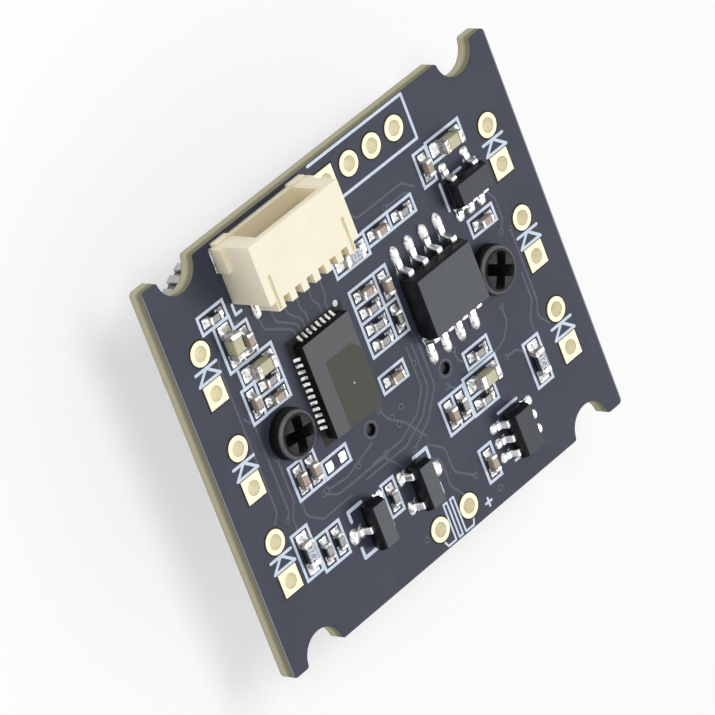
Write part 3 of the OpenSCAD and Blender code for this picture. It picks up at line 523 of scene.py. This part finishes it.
def welded(node):
    """Copy of a CAD node's loose triangles as one clean mesh with its flat faces joined."""
    work = bmesh.new()
    work.from_mesh(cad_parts[node].data)
    bmesh.ops.remove_doubles(work, verts=work.verts, dist=CAD_CORNER * MM)
    nearly_flat = math.radians(0.4)
    bmesh.ops.dissolve_limit(work, angle_limit=nearly_flat, verts=work.verts, edges=work.edges)
    work.verts.index_update()
    points = [tuple(v.co) for v in work.verts]
    faces = [[v.index for v in f.verts] for f in work.faces]
    work.free()
    mesh = bpy.data.meshes.new(node)
    mesh.from_pydata(points, [], faces)
    return mesh


def rounded(bench, width, steps, angle):
    """Rounds the edges of an object that are sharper than the angle."""
    bevel = bench.modifiers.new("round", "BEVEL")
    bevel.width, bevel.segments, bevel.limit_method = width * MM, steps, "ANGLE"
    bevel.angle_limit = math.radians(angle)


def softened(node, finish, round_off=0.0, body="module", steps=2, angle=35, name=None, coat=0.0):
    """Stands for a CAD node: the same shape, grown by a coat, its sharp edges rounded, in millimetres."""
    mesh = welded(node)
    if coat:
        for vert, normal in [(v, v.normal.copy()) for v in mesh.vertices]:
            vert.co += normal * coat * MM
    bench = on_bench(node, mesh)
    if round_off:
        rounded(bench, round_off, steps, angle)
    fitted(name or node + "_finished", shaded(baked(bench), angle), finish, [node], body)


def dressed(node, finish):
    """A CAD node whose shape is right keeps it and takes the finish."""
    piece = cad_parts[node]
    piece.data.materials.clear()
    piece.data.materials.append(finish.material)


def solids_of(node):
    """Boxes of a node's separate solids, as (lowest corner, highest corner)."""
    work = bmesh.new()
    work.from_mesh(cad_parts[node].data)
    bmesh.ops.remove_doubles(work, verts=work.verts, dist=CAD_CORNER * MM)
    seen, boxes = set(), []
    for start in work.verts:
        if start in seen:
            continue
        seen.add(start)
        waiting, members = [start], []
        while waiting:
            vert = waiting.pop()
            members.append(vert.co.copy())
            for edge in vert.link_edges:
                other = edge.other_vert(vert)
                if other not in seen:
                    seen.add(other)
                    waiting.append(other)
        boxes.append((Vector(map(min, zip(*members))), Vector(map(max, zip(*members)))))
    work.free()
    return boxes


class Heap:
    """Collects the points and faces of one piece."""

    def __init__(self):
        self.points, self.faces = [], []

    def add(self, points, faces):
        first = len(self.points)
        self.points += [tuple(p) for p in points]
        self.faces += [[first + i for i in face] for face in faces]

    def mound(self, surface, across, along, floor):
        """Closed heap over a grid: surface(u, v), with u and v from -1 to 1, gives its top points."""
        rows = [[Vector(surface(2 * i / along - 1, 2 * j / across - 1)) for j in range(across + 1)]
                for i in range(along + 1)]
        points = [p for row in rows for p in row]
        at = lambda i, j: i * (across + 1) + j
        faces = [[at(i, j), at(i + 1, j), at(i + 1, j + 1), at(i, j + 1)]
                 for i in range(along) for j in range(across)]
        rim = [at(i, 0) for i in range(along)] + [at(along, j) for j in range(across)]
        rim += [at(i, across) for i in range(along, 0, -1)] + [at(0, j) for j in range(across, 0, -1)]
        low = len(points)
        points += [Vector((points[i].x, points[i].y, floor)) for i in rim]
        count = len(rim)
        faces += [[rim[(k + 1) % count], rim[k], low + k, low + (k + 1) % count] for k in range(count)]
        faces.append([low + k for k in range(count)][::-1])
        self.add(points, faces)

    def mesh(self, name):
        mesh = bpy.data.meshes.new(name)
        mesh.from_pydata(self.points, [], self.faces)
        work = bmesh.new()
        work.from_mesh(mesh)
        bmesh.ops.remove_doubles(work, verts=work.verts, dist=OWN_CORNER * MM)
        bmesh.ops.recalc_face_normals(work, faces=work.faces)
        work.to_mesh(mesh)
        work.free()
        return mesh


def turned(rings, count=14, square=False, closed=False):
    """Mesh of rings (radius, height) in millimetres about the upright axis, capped or closed on itself."""
    sides = 4 if square else count
    reach, start = (math.sqrt(2), 0.5) if square else (1, 0)
    points = []
    for radius, height in rings:
        r = radius * reach * MM
        for k in range(sides):
            a = math.tau * (k + start) / sides
            points.append((r * math.cos(a), r * math.sin(a), height * MM))
    total = len(points)
    faces = [[i * sides + k, i * sides + (k + 1) % sides, ((i + 1) * sides + (k + 1) % sides) % total,
              ((i + 1) * sides + k) % total]
             for i in range(len(rings) - (0 if closed else 1)) for k in range(sides)]
    if not closed:
        faces += [list(range(sides))[::-1], list(range(total - sides, total))]
    heap = Heap()
    heap.add(points, faces)
    return heap.mesh("turned")


# Geometry trees


class Tree(Wiring):
    """A geometry tree with named inputs."""

    def __init__(self, name, inputs):
        self.group = bpy.data.node_groups.new(name, "GeometryNodeTree")
        super().__init__(self.group)
        self.group.interface.new_socket("Geometry", in_out="INPUT", socket_type="NodeSocketGeometry")
        for label, kind in inputs.items():
            self.group.interface.new_socket(label, in_out="INPUT", socket_type="NodeSocket" + kind)
        self.group.interface.new_socket("Geometry", in_out="OUTPUT", socket_type="NodeSocketGeometry")
        self.given = self.node("NodeGroupInput")

    def close(self, geometry):
        """Ends the tree in Realize Instances and Set Material."""
        plain = self.node("GeometryNodeRealizeInstances", None, {"Geometry": geometry})
        dressed_up = self.node("GeometryNodeSetMaterial", None,
                               {"Geometry": plain, "Material": self.given.out("Finish")})
        self.node("NodeGroupOutput", None, {"Geometry": dressed_up})
        return self

    def run(self, name, mesh, **values):
        """The plain mesh that the tree makes of a mesh, with its inputs set by identifier."""
        bench = on_bench(name, mesh)
        modifier = bench.modifiers.new("tree", "NODES")
        modifier.node_group = self.group
        for item in self.group.interface.items_tree:
            if item.in_out == "INPUT" and item.name in values:
                modifier[item.identifier] = values[item.name]
        return baked(bench)


def sweep_tree():
    """A low rounded strip that follows the edges of a mesh, with eased bends."""
    tree = Tree("strip_along_a_path", {"Width": "Float", "Height": "Float", "Bend": "Float",
                                       "Finish": "Material"})
    given = tree.given.out
    path = tree.node("GeometryNodeMeshToCurve", None, {"Mesh": given("Geometry")})
    eased = tree.node("GeometryNodeFilletCurve", {"mode": "POLY"},
                      {"Curve": path, "Count": 5, "Radius": given("Bend"), "Limit Radius": True})
    upright = tree.node("GeometryNodeSetCurveNormal", {"mode": "Z_UP"}, {"Curve": eased})
    section = tree.node("GeometryNodeCurvePrimitiveCircle", None, {"Resolution": 8, "Radius": 1.0})
    size = tree.node("ShaderNodeCombineXYZ", None,
                     {0: given("Width") * 0.5, 1: given("Height"), 2: 1.0})
    flat = tree.node("GeometryNodeTransform", None, {"Geometry": section, "Scale": size})
    swept = tree.node("GeometryNodeCurveToMesh", None,
                      {"Curve": upright, "Profile Curve": flat, "Fill Caps": True})
    return tree.close(swept)


def scatter_tree():
    """One small piece set on every point, each turned and sized a little differently."""
    tree = Tree("piece_on_points", {"Piece": "Object", "Vary": "Float", "Seed": "Int",
                                    "Finish": "Material"})
    given = tree.given.out
    piece = tree.node("GeometryNodeObjectInfo", None, {"Object": given("Piece")}, "Geometry")
    turn = tree.node("FunctionNodeRandomValue", None, {2: 0.0, 3: math.tau, "Seed": given("Seed")}, 1)
    spin = tree.node("ShaderNodeCombineXYZ", None, {2: turn * (given("Vary") > 0.0)})
    grow = tree.node("FunctionNodeRandomValue", None,
                     {2: 1 - given("Vary"), 3: 1 + given("Vary"), "Seed": given("Seed") + 1}, 1)
    placed = tree.node("GeometryNodeInstanceOnPoints", None,
                       {"Points": given("Geometry"), "Instance": piece, "Rotation": spin, "Scale": grow})
    return tree.close(placed)


SWEEP = sweep_tree()
SCATTER = scatter_tree()


def flat_mesh(name, paths, height, joined=True):
    """Points of flat paths, given in millimetres, at one height, joined along each path or loose."""
    points, edges = [], []
    for path in paths:
        first = len(points)
        points += [(x * MM, y * MM, height) for x, y in path]
        edges += [(first + i, first + i + 1) for i in range(len(path) - 1) if joined]
    mesh = bpy.data.meshes.new(name)
    mesh.from_pydata(points, edges, [])
    return mesh


# The board and what is printed on it

PAD_NODES = ("diode_pads", "header_pads", "output_pads")
PAD_HALF = 0.75

softened("circuit_board", BOARD, 0.03, name="board")
for node in PAD_NODES:
    softened(node, GOLD, 0.015, steps=1)
softened("printed_legend", INK, name="legend")

# A fan of six tracks that jog towards the controller, then the others
FRONT_TRACKS = [[(x, 6.7), (x, high), (end, low), (end, 4.55)] for x, high, end, low in (
    (-7.92, 6.1, -5.9, 4.9), (-6.92, 6.0, -5.5, 5.0), (-5.92, 5.9, -5.1, 5.1), (-4.92, 5.6, -4.7, 5.3),
    (-3.92, 5.6, -3.6, 5.2), (-2.92, 5.4, -3.1, 5.0))]
FRONT_TRACKS += [
    [(-12.3, -4.0), (-11.8, -3.5), (-11.8, 6.0), (-11.2, 6.9)],
    [(-11.3, -4.3), (-11.0, -3.9), (-11.0, 1.8), (-11.6, 2.5)],
    [(-10.4, -0.8), (-10.4, -3.6), (-10.9, -4.4), (-10.9, -5.2)],
    [(-9.9, -3.9), (-9.9, -4.9), (-8.9, -5.7), (-6.3, -5.7)],
    [(11.25, -1.5), (11.25, -3.3), (10.6, -4.3), (10.6, -5.2)],
    [(11.6, 1.2), (11.6, -3.6), (11.2, -4.4), (11.9, -5.3)],
    [(10.9, 1.4), (11.3, 2.0), (11.3, 3.4), (10.8, 4.2)],
    [(1.2, -0.5), (1.2, -3.2), (0.2, -4.3), (-1.6, -5.0), (-4.2, -5.0)],
    [(1.65, -0.5), (1.65, -3.4), (0.5, -4.7), (-1.4, -5.5), (-5.0, -5.5)],
    [(2.15, -0.5), (2.15, -3.6), (0.8, -5.1), (-0.9, -6.0)],
    [(2.0, 2.2), (1.9, 0.4), (2.15, -0.5)],
    [(-2.3, -2.6), (-1.9, -3.4), (-0.9, -4.2), (0.3, -5.9)],
    [(3.0, -4.2), (3.6, -4.7), (4.1, -4.7)],
    [(4.4, -2.6), (4.4, -3.4), (5.0, -3.7)],
    [(-7.9, -4.4), (-6.2, -4.6), (-4.4, -4.1), (-3.6, -3.9)],
    [(-8.2, -4.5), (-7.2, -5.1), (-3.2, -5.1), (-2.2, -6.4)],
    [(-0.6, -6.8), (0.6, -7.6), (0.6, -9.4), (1.3, -10.4)],
    [(0.1, -6.3), (1.2, -7.2), (1.2, -8.8), (2.6, -9.9)],
    [(7.9, -5.2), (8.8, -5.2), (9.4, -5.8), (9.4, -7.9)],
    [(6.7, -4.6), (8.2, -4.2), (8.9, -3.4), (8.9, -2.4)],
    [(6.0, 7.2), (5.2, 7.9), (1.2, 7.9), (0.3, 8.9)],
    [(5.6, 6.9), (5.2, 7.3), (3.4, 7.3)],
    [(-10.0, 8.0), (-9.9, 7.5), (-9.3, 7.5)],
]
BACK_TRACKS = [
    [(-9.5, 8.5), (-9.5, 4.2), (-11.4, 2.2), (-11.4, -5.8)],
    [(-7.6, 10.6), (-7.6, 8.6), (-1.6, 8.6), (-0.6, 9.6)],
    [(8.4, 8.9), (10.6, 6.7), (10.6, 3.2)],
    [(10.9, -3.1), (10.9, -7.1), (8.3, -9.7), (3.1, -9.7), (2.2, -10.6)],
    [(-2.2, -10.6), (-3.4, -9.4), (-8.4, -9.4), (-10.4, -7.4)],
    [(-8.3, 9.9), (-8.3, 3.1)],
    [(8.0, -8.6), (9.6, -7.0), (9.6, -3.0)],
]
VIAS = [(1.3, -1.65), (-5.15, -4.5), (-3.0, -5.0), (-1.6, -3.45), (-0.7, -3.3), (-1.3, -4.1),
        (-2.45, -11.1), (4.0, -11.6), (3.0, -4.2), (-8.2, -4.5), (-11.3, -4.3), (-10.4, -0.8),
        (10.9, 1.4), (11.6, 1.2), (0.3, 8.9), (3.4, 7.3), (8.9, -2.4), (-9.9, -3.9), (4.4, -2.6),
        (-0.9, -6.0), (-2.3, -2.6), (2.6, -9.9), (-7.9, -4.4), (7.9, -5.2)]
BACK_VIAS = [(-9.5, 8.5), (-8.3, 9.9), (8.4, 8.9), (10.6, 3.2), (-10.4, -7.4), (8.0, -8.6), (-8.3, 3.1)]


def tracks(name, paths, height, width=0.17):
    """Copper tracks under the mask, a little raised."""
    raised, bend = 0.009, 0.5
    mesh = SWEEP.run(name, flat_mesh(name, paths, height), Width=width * MM, Height=raised * MM,
                     Bend=bend * MM, Finish=TRACK.material)
    fitted(name, shaded(mesh, 60), TRACK)


tracks("tracks_front", FRONT_TRACKS, BOARD_HIGH)
tracks("tracks_back", BACK_TRACKS, BOARD_LOW, 0.25)


def scattered(name, shape, places, height, finish, vary=0.0, seed=1):
    """Copies of one small shape at places in the plane, all as one piece."""
    sample = on_bench(name + "_sample", shape)
    mesh = SCATTER.run(name, flat_mesh(name, [places], height, joined=False), Piece=sample, Vary=vary,
                       Seed=seed, Finish=finish.material)
    bpy.data.objects.remove(sample)
    fitted(name, shaded(mesh, 50), finish)


VIA_RINGS = [(0.25, -0.01), (0.22, 0.004), (0.14, 0.005), (0.1, 0.001)]
VIAS_BELOW = VIAS[:12] + BACK_VIAS
scattered("vias_front", turned(VIA_RINGS), VIAS, BOARD_HIGH, TRACK, vary=0.08, seed=3)
scattered("vias_back", turned([(r, -h) for r, h in VIA_RINGS]), VIAS_BELOW, BOARD_LOW, TRACK,
          vary=0.08, seed=5)


def via_mouth_shade(name, places, height, side):
    """Painted shade: dark discs in the middle of the vias stand for the shade down their drill mouths."""
    shape = turned([(0.09, -0.02 * side), (0.09, 0.006 * side), (0.05, 0.007 * side)], count=12)
    scattered(name, shape, places, height, DARK_CLEARING_AND_HOLE_SHADE)


via_mouth_shade("via_holes_front", VIAS, BOARD_HIGH, 1)
via_mouth_shade("via_holes_back", VIAS_BELOW, BOARD_LOW, -1)


def pad_centres(node, square):
    """Centres in millimetres of a node's plated holes whose pads are square, or round."""
    found = []
    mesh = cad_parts[node].data
    for low, high in solids_of(node):
        if high.z < BOARD_HIGH:
            continue
        middle = (low + high) / 2
        spans = [(v.co.xy - middle.xy).length for v in mesh.vertices]
        # Only a square pad's corners lie this far out, and the next pad lies further still
        corner = max(span for span in spans if span < 1.6 * PAD_HALF * MM)
        if (corner > 1.2 * PAD_HALF * MM) == square:
            found.append((middle.x / MM, middle.y / MM))
    return found


for square, word in ((True, "square"), (False, "round")):
    places = [p for node in PAD_NODES for p in pad_centres(node, square)]
    gap_rings = [(PAD_HALF + 0.1, -0.004), (PAD_HALF + 0.1, 0.003), (PAD_HALF - 0.1, 0.003)]
    gap = turned(gap_rings, count=32, square=square, closed=True)
    scattered("pad_clearings_" + word, gap, places, BOARD_HIGH, DARK_CLEARING_AND_HOLE_SHADE)


def hole_lining():
    """Gold wall of one plated hole, a little waisted, from the lower pads to the upper ones."""
    low, high = (corner.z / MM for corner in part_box("header_pads"))
    mouth, shoulder, waist, outside = 0.449, 0.43, 0.425, 0.455
    inset, flare = 0.03, 0.14
    return turned([(mouth, low + inset), (shoulder, low + flare), (waist, (low + high) / 2),
                   (shoulder, high - flare), (mouth, high - inset), (outside, high - inset),
                   (outside, low + inset)], count=28, closed=True)


HOLES = [p for node in PAD_NODES for square in (True, False) for p in pad_centres(node, square)]
scattered("hole_linings", hole_lining(), HOLES, 0, LIT_GOLD_WALL)

# Thin ring in the mask around each locating hole
LOCATING = [(-3.36, -3.2), (3.36, -3.2)]
LOCATING_RINGS = [(0.56, -0.005), (0.56, 0.002), (0.5, 0.008), (0.44, 0.006)]
scattered("locating_rings", turned(LOCATING_RINGS, count=32, closed=True), LOCATING, BOARD_HIGH, TRACK)


# Connector

softened("connector_housing", NYLON, 0.07, steps=3)
softened("connector_contacts", CONTACT, 0.03)
softened("connector_tabs", TIN, 0.04)


# Chips and their leads

softened("controller_chip", CONTROLLER, 0.035)
softened("memory_chip", MEMORY, 0.05)
for node, finish in (("regulator", SMALL_CHIP), ("power_switch", SMALL_CHIP),
                     ("left_transistor", TRANSISTOR), ("right_transistor", TRANSISTOR)):
    softened(node, finish, 0.04)
for node in ("memory_leads", "regulator_leads", "power_switch_leads", "left_transistor_leads",
             "right_transistor_leads"):
    softened(node, TIN, 0.07, steps=3, coat=0.04)
softened("controller_terminals", SOLDER, 0.035, coat=-0.015)


def dark_frame_round_controller():
    """Dark flat frame laid on the board round the controller's edge."""
    low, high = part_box("controller_chip")
    middle, half = (low + high) / 2, (high - low) / 2
    reach = 0.4
    dark_frame = turned([(1, -0.004), (1, 0.004), (0.8, 0.004), (0.8, -0.004)], square=True, closed=True)
    dark_frame.transform(Matrix.Translation((middle.x, middle.y, BOARD_HIGH)) @ Matrix.Diagonal(
        (half.x / MM + reach, half.y / MM + reach, 1, 1)))
    fitted("controller_mask_opening", shaded(dark_frame), DARK_CLEARING_AND_HOLE_SHADE)


dark_frame_round_controller()

# Parts whose leads stand on the chip lands
LEADED = ("memory_chip", "regulator", "power_switch", "left_transistor", "right_transistor",
          "connector_housing")


def lead_solder():
    """Solder on the chips' lands: thin beside each lead's foot, a full round drop beyond its tip."""
    chips = [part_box(chip) for chip in LEADED]
    heap = Heap()
    rng = random.Random(11)
    foot_share, waist_at, drop_at = 0.45, 0.3, 0.68
    for low, high in solids_of("chip_lands"):
        middle, half = (low + high) / 2, (high - low) / 2
        chip_low, chip_high = min(chips, key=lambda box: (
            Vector((max(box[0].x - middle.x, middle.x - box[1].x, 0),
                    max(box[0].y - middle.y, middle.y - box[1].y, 0)))).length)
        away = middle - (chip_low + chip_high) / 2
        axis = 0 if half.x > half.y else 1
        if chip_low.x < middle.x < chip_high.x:
            axis = 1
        elif chip_low.y < middle.y < chip_high.y:
            axis = 0
        outward = 1 if away[axis] > 0 else -1
        long_land = half[axis] > max(0.8 * MM, 2 * half[1 - axis])
        rise = (0.24 if long_land else 0.13) * MM * rng.uniform(0.85, 1.15)
        lean = rng.uniform(-0.12, 0.12)

        def top(u, v):
            s = (u + 1) / 2
            beside = foot_share * min(1.0, s * 5)
            drop = max(0.0, 1 - ((s - drop_at) / (1 - drop_at)) ** 2) ** 0.5
            hump = max(beside * (1 - s), drop)
            cross = math.sqrt(max(0.0, 1 - v * v))
            waist = 1 - 0.3 * math.exp(-((s - waist_at) / 0.16) ** 2)
            tip = math.sqrt(max(0.04, 1 - max(0.0, (s - 0.72) / 0.28) ** 2.4))
            place = [0.0, 0.0, PAD_TOP - 0.02 * MM + rise * hump * cross * (1 + lean * v)]
            place[axis] = middle[axis] + outward * half[axis] * u
            place[1 - axis] = middle[1 - axis] + half[1 - axis] * v * waist * tip
            return place

        heap.mound(top, 8, 14, BOARD_HIGH)
    fitted("lead_solder", shaded(heap.mesh("lead_solder"), 60), SOLDER, ["chip_lands"])


lead_solder()


# Chip resistors and capacitors

softened("large_capacitors", LARGE_CERAMIC, 0.06)
softened("small_capacitors", SMALL_CERAMIC, 0.04)
softened("marked_resistors", GLAZE, 0.04)
softened("small_resistors", GLAZE, 0.03)
CAP_NODES = ("large_capacitor_caps", "small_capacitor_caps", "marked_resistor_caps", "small_resistor_caps")
for node in CAP_NODES:
    softened(node, CAP, 0.05)
softened("bare_lands", SOLDER, 0.02)


def part_solder():
    """Solder at the ends of the chip parts: it climbs each end cap in a hollow curve."""
    caps = [box for node in CAP_NODES for box in solids_of(node)]
    heap = Heap()
    rng = random.Random(23)
    # Share of a mound's length at which it meets the cap's face
    meet = 0.72
    for low, high in solids_of("chip_part_solder"):
        middle, half = (low + high) / 2, (high - low) / 2
        cap_low, cap_high = min(caps, key=lambda box: ((box[0] + box[1]) / 2 - middle).xy.length)
        step = (cap_low + cap_high) / 2 - middle
        axis = 0 if abs(step.x) > abs(step.y) else 1
        inward = 1 if step[axis] > 0 else -1
        outer = middle[axis] - inward * half[axis]
        inner = middle[axis] + inward * half[axis]
        face = cap_low[axis] if inward > 0 else cap_high[axis]
        width = half[1 - axis]
        widening = ((cap_high - cap_low)[1 - axis] / 2 - width) * 0.6
        climb = min(high.z - PAD_TOP, (cap_high.z - PAD_TOP) * 0.8) * rng.uniform(0.75, 1.0)

        def top(u, v):
            s = (u + 1) / 2
            place = [0.0, 0.0, 0.0]
            if s <= meet:
                t = s / meet
                place[axis] = outer + (face - outer) * t
                lift = climb * t ** 1.8 * (1 - 0.3 * v ** 4)
            else:
                t = (s - meet) / (1 - meet)
                place[axis] = face + (inner - face) * t
                lift = climb * (1 - t) * 0.5
            across = width + widening * (min(s, meet) / meet) ** 3
            round_end = math.sqrt(1 - 0.2 * (1 - min(1.0, s * 3)) * v * v)
            place[1 - axis] = middle[1 - axis] + across * v * round_end
            edge = 1 - abs(v) ** 6 * 0.6
            place[2] = PAD_TOP - 0.015 * MM * (1 - edge) + lift * edge
            return place

        heap.mound(top, 6, 9, BOARD_HIGH)
    fitted("part_solder", shaded(heap.mesh("part_solder"), 70), SOLDER, ["chip_part_solder"])


part_solder()


def numerals():
    """Generic three-figure values printed along the marked resistors."""
    heap = Heap()
    size, ink = 0.78, 0.004
    for (low, high), text in zip(solids_of("marked_resistors"), ("220", "220", "103")):
        curve = bpy.data.curves.new("numeral", "FONT")
        curve.body = text
        curve.size = size * MM
        curve.extrude = ink * MM
        curve.offset = 0.014 * MM
        mesh = baked(on_bench("numeral", curve))
        middle = (low + high) / 2
        corners = [Vector(pick(v.co[i] for v in mesh.vertices) for i in range(3)) for pick in (min, max)]
        centred = Matrix.Translation((corners[0] + corners[1]) / -2)
        along_y = (high - low).y > (high - low).x
        turn = Matrix.Rotation(math.radians(90 if along_y else 0), 4, "Z")
        mesh.transform(Matrix.Translation((middle.x, middle.y, high.z + ink * MM)) @ turn @ centred)
        heap.add([v.co for v in mesh.vertices], [list(p.vertices) for p in mesh.polygons])
        bpy.data.meshes.remove(mesh)
    fitted("resistor_numerals", heap.mesh("resistor_numerals"), INK)


numerals()


# Screws, holder and lens


def driver_cross(crown):
    """The driver's cross to be cut from a head; its arms widen outwards and upwards."""
    cutter = Heap()
    bottom, bottom_share, top = crown - 0.62, 0.62, crown + 0.1
    outline = [(0, -0.38), (0, 0.38), (0.5, 0.36), (1.08, 0.4), (1.2, 0.24), (1.2, -0.24), (1.08, -0.4),
               (0.5, -0.36)]
    n = len(outline)
    faces = [list(range(n)), list(range(2 * n - 1, n - 1, -1))]
    faces += [[k, n + k, n + (k + 1) % n, (k + 1) % n] for k in range(n)]
    for arm in range(4):
        cos, sin = math.cos(math.tau * arm / 4), math.sin(math.tau * arm / 4)
        cutter.add([((x * share * cos - y * share * sin) * MM, (x * share * sin + y * share * cos) * MM,
                     z * MM) for z, share in ((bottom, bottom_share), (top, 1.0)) for x, y in outline], faces)
    return cutter.mesh("driver")


def screws():
    """Pan-head screws: a low dome with a rolled edge and a cross recess."""
    low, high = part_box("lens_screws")
    end, seat, crown = low.z / MM, BOARD_HIGH / MM, high.z / MM
    shank, point = 0.85, 0.2
    # Steps in from the head's rim, each with its height over the seat
    dome = [(0.05, 0), (0, 0.06), (0, 0.5), (0.03, 0.68), (0.11, 0.82), (0.24, 0.91), (0.45, 0.955)]
    outline = [(0, end), (shank - point, end), (shank, end + point), (shank, seat)]
    outline += [(SCREW_HEAD_R - step, seat + rise) for step, rise in dome]
    outline += [(SCREW_HEAD_R - 0.8, crown - 0.012), (0, crown)]
    both = bmesh.new()
    for side, turn in zip((-1, 1), SCREW_TURNS):
        head = on_bench("head", turned(outline, count=48))
        tool = on_bench("driver", driver_cross(crown))
        cut = head.modifiers.new("cross", "BOOLEAN")
        cut.operation, cut.solver, cut.use_self = "DIFFERENCE", "EXACT", True
        cut.object = tool
        rounded(head, width=0.03, steps=2, angle=50)
        mesh = baked(head)
        bpy.data.objects.remove(tool)
        mesh.transform(Matrix.Translation((side * SCREW_X * MM, 0, 0))
                       @ Matrix.Rotation(math.radians(turn), 4, "Z"))
        both.from_mesh(mesh)
    mesh = bpy.data.meshes.new("lens_screws_finished")
    both.to_mesh(mesh)
    both.free()
    fitted("lens_screws_finished", shaded(mesh, 40), BLACK_OXIDE, ["lens_screws"])


screws()
softened("lens_holder", HOLDER, 0.12, steps=3)
softened("lens_barrel", BARREL, angle=28, body="lens")
softened("front_lens", LENS_GLASS, body="lens")
softened("rear_lens", LENS_GLASS, body="lens")
for node, finish in (("spacer_ring", RING), ("retaining_ring", RING), ("infrared_filter", FILTER_GLASS),
                     ("sensor_glass", LENS_GLASS), ("image_sensor", SENSOR)):
    dressed(node, finish)


# Stage, light and camera


def seen_directly(wiring):
    """1 for what the camera sees straight, in a reflection or through glass."""
    light = wiring.node("ShaderNodeLightPath", None, None, "Is Camera Ray")
    both = light.work("MAXIMUM", light.out("Is Glossy Ray"))
    return both.work("MAXIMUM", light.out("Is Transmission Ray"))


def floor():
    """White table top; most of its white is its own colour, and it keeps the shadow."""
    material = bpy.data.materials.new("white_table")
    material.use_nodes = True
    make = Wiring(material.node_tree)
    plain_white, white_share = 0.98, 0.55
    matt = make.node("ShaderNodeBsdfDiffuse", None, {"Color": (plain_white,) * 3 + (1,)})
    white = make.node("ShaderNodeEmission", None, {"Color": (1, 1, 1, 1), "Strength": 1.0})
    lit = make.node("ShaderNodeMixShader", None, {0: seen_directly(make) * white_share, 1: matt, 2: white})
    # Seen from below the table is clear, so that views from there show the lens
    clear = make.node("ShaderNodeBsdfTransparent")
    below = make.node("ShaderNodeNewGeometry", None, None, "Backfacing")
    both = make.node("ShaderNodeMixShader", None, {0: below, 1: lit, 2: clear})
    make.node("ShaderNodeOutputMaterial", None, {"Surface": both})
    mesh = bpy.data.meshes.new("table_top")
    reach, gap = 0.6, 0.02
    mesh.from_pydata([(-reach, -reach, 0), (reach, -reach, 0), (reach, reach, 0), (-reach, reach, 0)],
                     [], [(0, 1, 2, 3)])
    mesh.materials.append(material)
    top = bpy.data.objects.new("table_top", mesh)
    top.location.z = -gap * MM
    scene.collection.objects.link(top)
    return top


def room():
    """Even white room: plain light on the object, white where it is seen."""
    world = bpy.data.worlds.new("white_room")
    scene.world = world
    world.use_nodes = True
    make = Wiring(world.node_tree)
    on_object, when_seen = 0.5, 1.0
    strength = seen_directly(make) * (when_seen - on_object) + on_object
    sky = make.node("ShaderNodeBackground", None, {"Color": (1, 1, 1, 1), "Strength": strength})
    make.node("ShaderNodeOutputWorld", None, {"Surface": sky})


def lamp(name, direction, distance, size, power, on_table, sheen=1.0):
    """Square soft light aimed at the board's middle, for the table alone or for all but the table."""
    data = bpy.data.lights.new(name, "AREA")
    data.shape, data.size, data.energy, data.specular_factor = "SQUARE", size, power, sheen
    light = bpy.data.objects.new(name, data)
    aim = Vector((0, 0, BOARD_HIGH))
    way = Vector(direction).normalized()
    light.location = aim + way * distance
    light.rotation_mode = "QUATERNION"
    light.rotation_quaternion = (-way).to_track_quat("-Z", "Y")
    scene.collection.objects.link(light)
    group = bpy.data.collections.new(name + "_group")
    group.objects.link(table)
    group.collection_objects[0].light_linking.link_state = "INCLUDE" if on_table else "EXCLUDE"
    light.light_linking.receiver_collection = group


table = floor()
room()
# Directions from the board to the lamps
ACROSS, BEHIND = (0.584, -0.396, 0.708), (-5.2, 6.2, 11.15)
lamp("board_light", ACROSS, distance=0.45, size=0.2, power=0.82, on_table=False, sheen=0.7)
lamp("table_light", BEHIND, distance=0.5, size=0.1, power=1.6, on_table=True)
lamp("fill_light", BEHIND, distance=0.5, size=0.1, power=0.5, on_table=False, sheen=0.3)

# The photograph's view, fitted to the board's corners
CAMERA_RIGHT = Vector((0.630752, -0.332666, 0.701060))
CAMERA_UP = Vector((0.514003, 0.855939, -0.056296))
CAMERA_BACK = Vector((-0.581337, 0.395856, 0.710876))
CAMERA_PLACE = Vector((-0.230589, 0.156351, 0.292174))
camera_data = bpy.data.cameras.new("camera")
camera_data.sensor_width = 36
camera_data.lens = 352.45
camera_data.clip_start, camera_data.clip_end = 0.01, 10
camera = bpy.data.objects.new("camera", camera_data)
camera.matrix_world = Matrix.Translation(CAMERA_PLACE) @ Matrix(
    (CAMERA_RIGHT, CAMERA_UP, CAMERA_BACK)).transposed().to_4x4()
scene.collection.objects.link(camera)
scene.camera = camera
scene.view_settings.view_transform = "Standard"
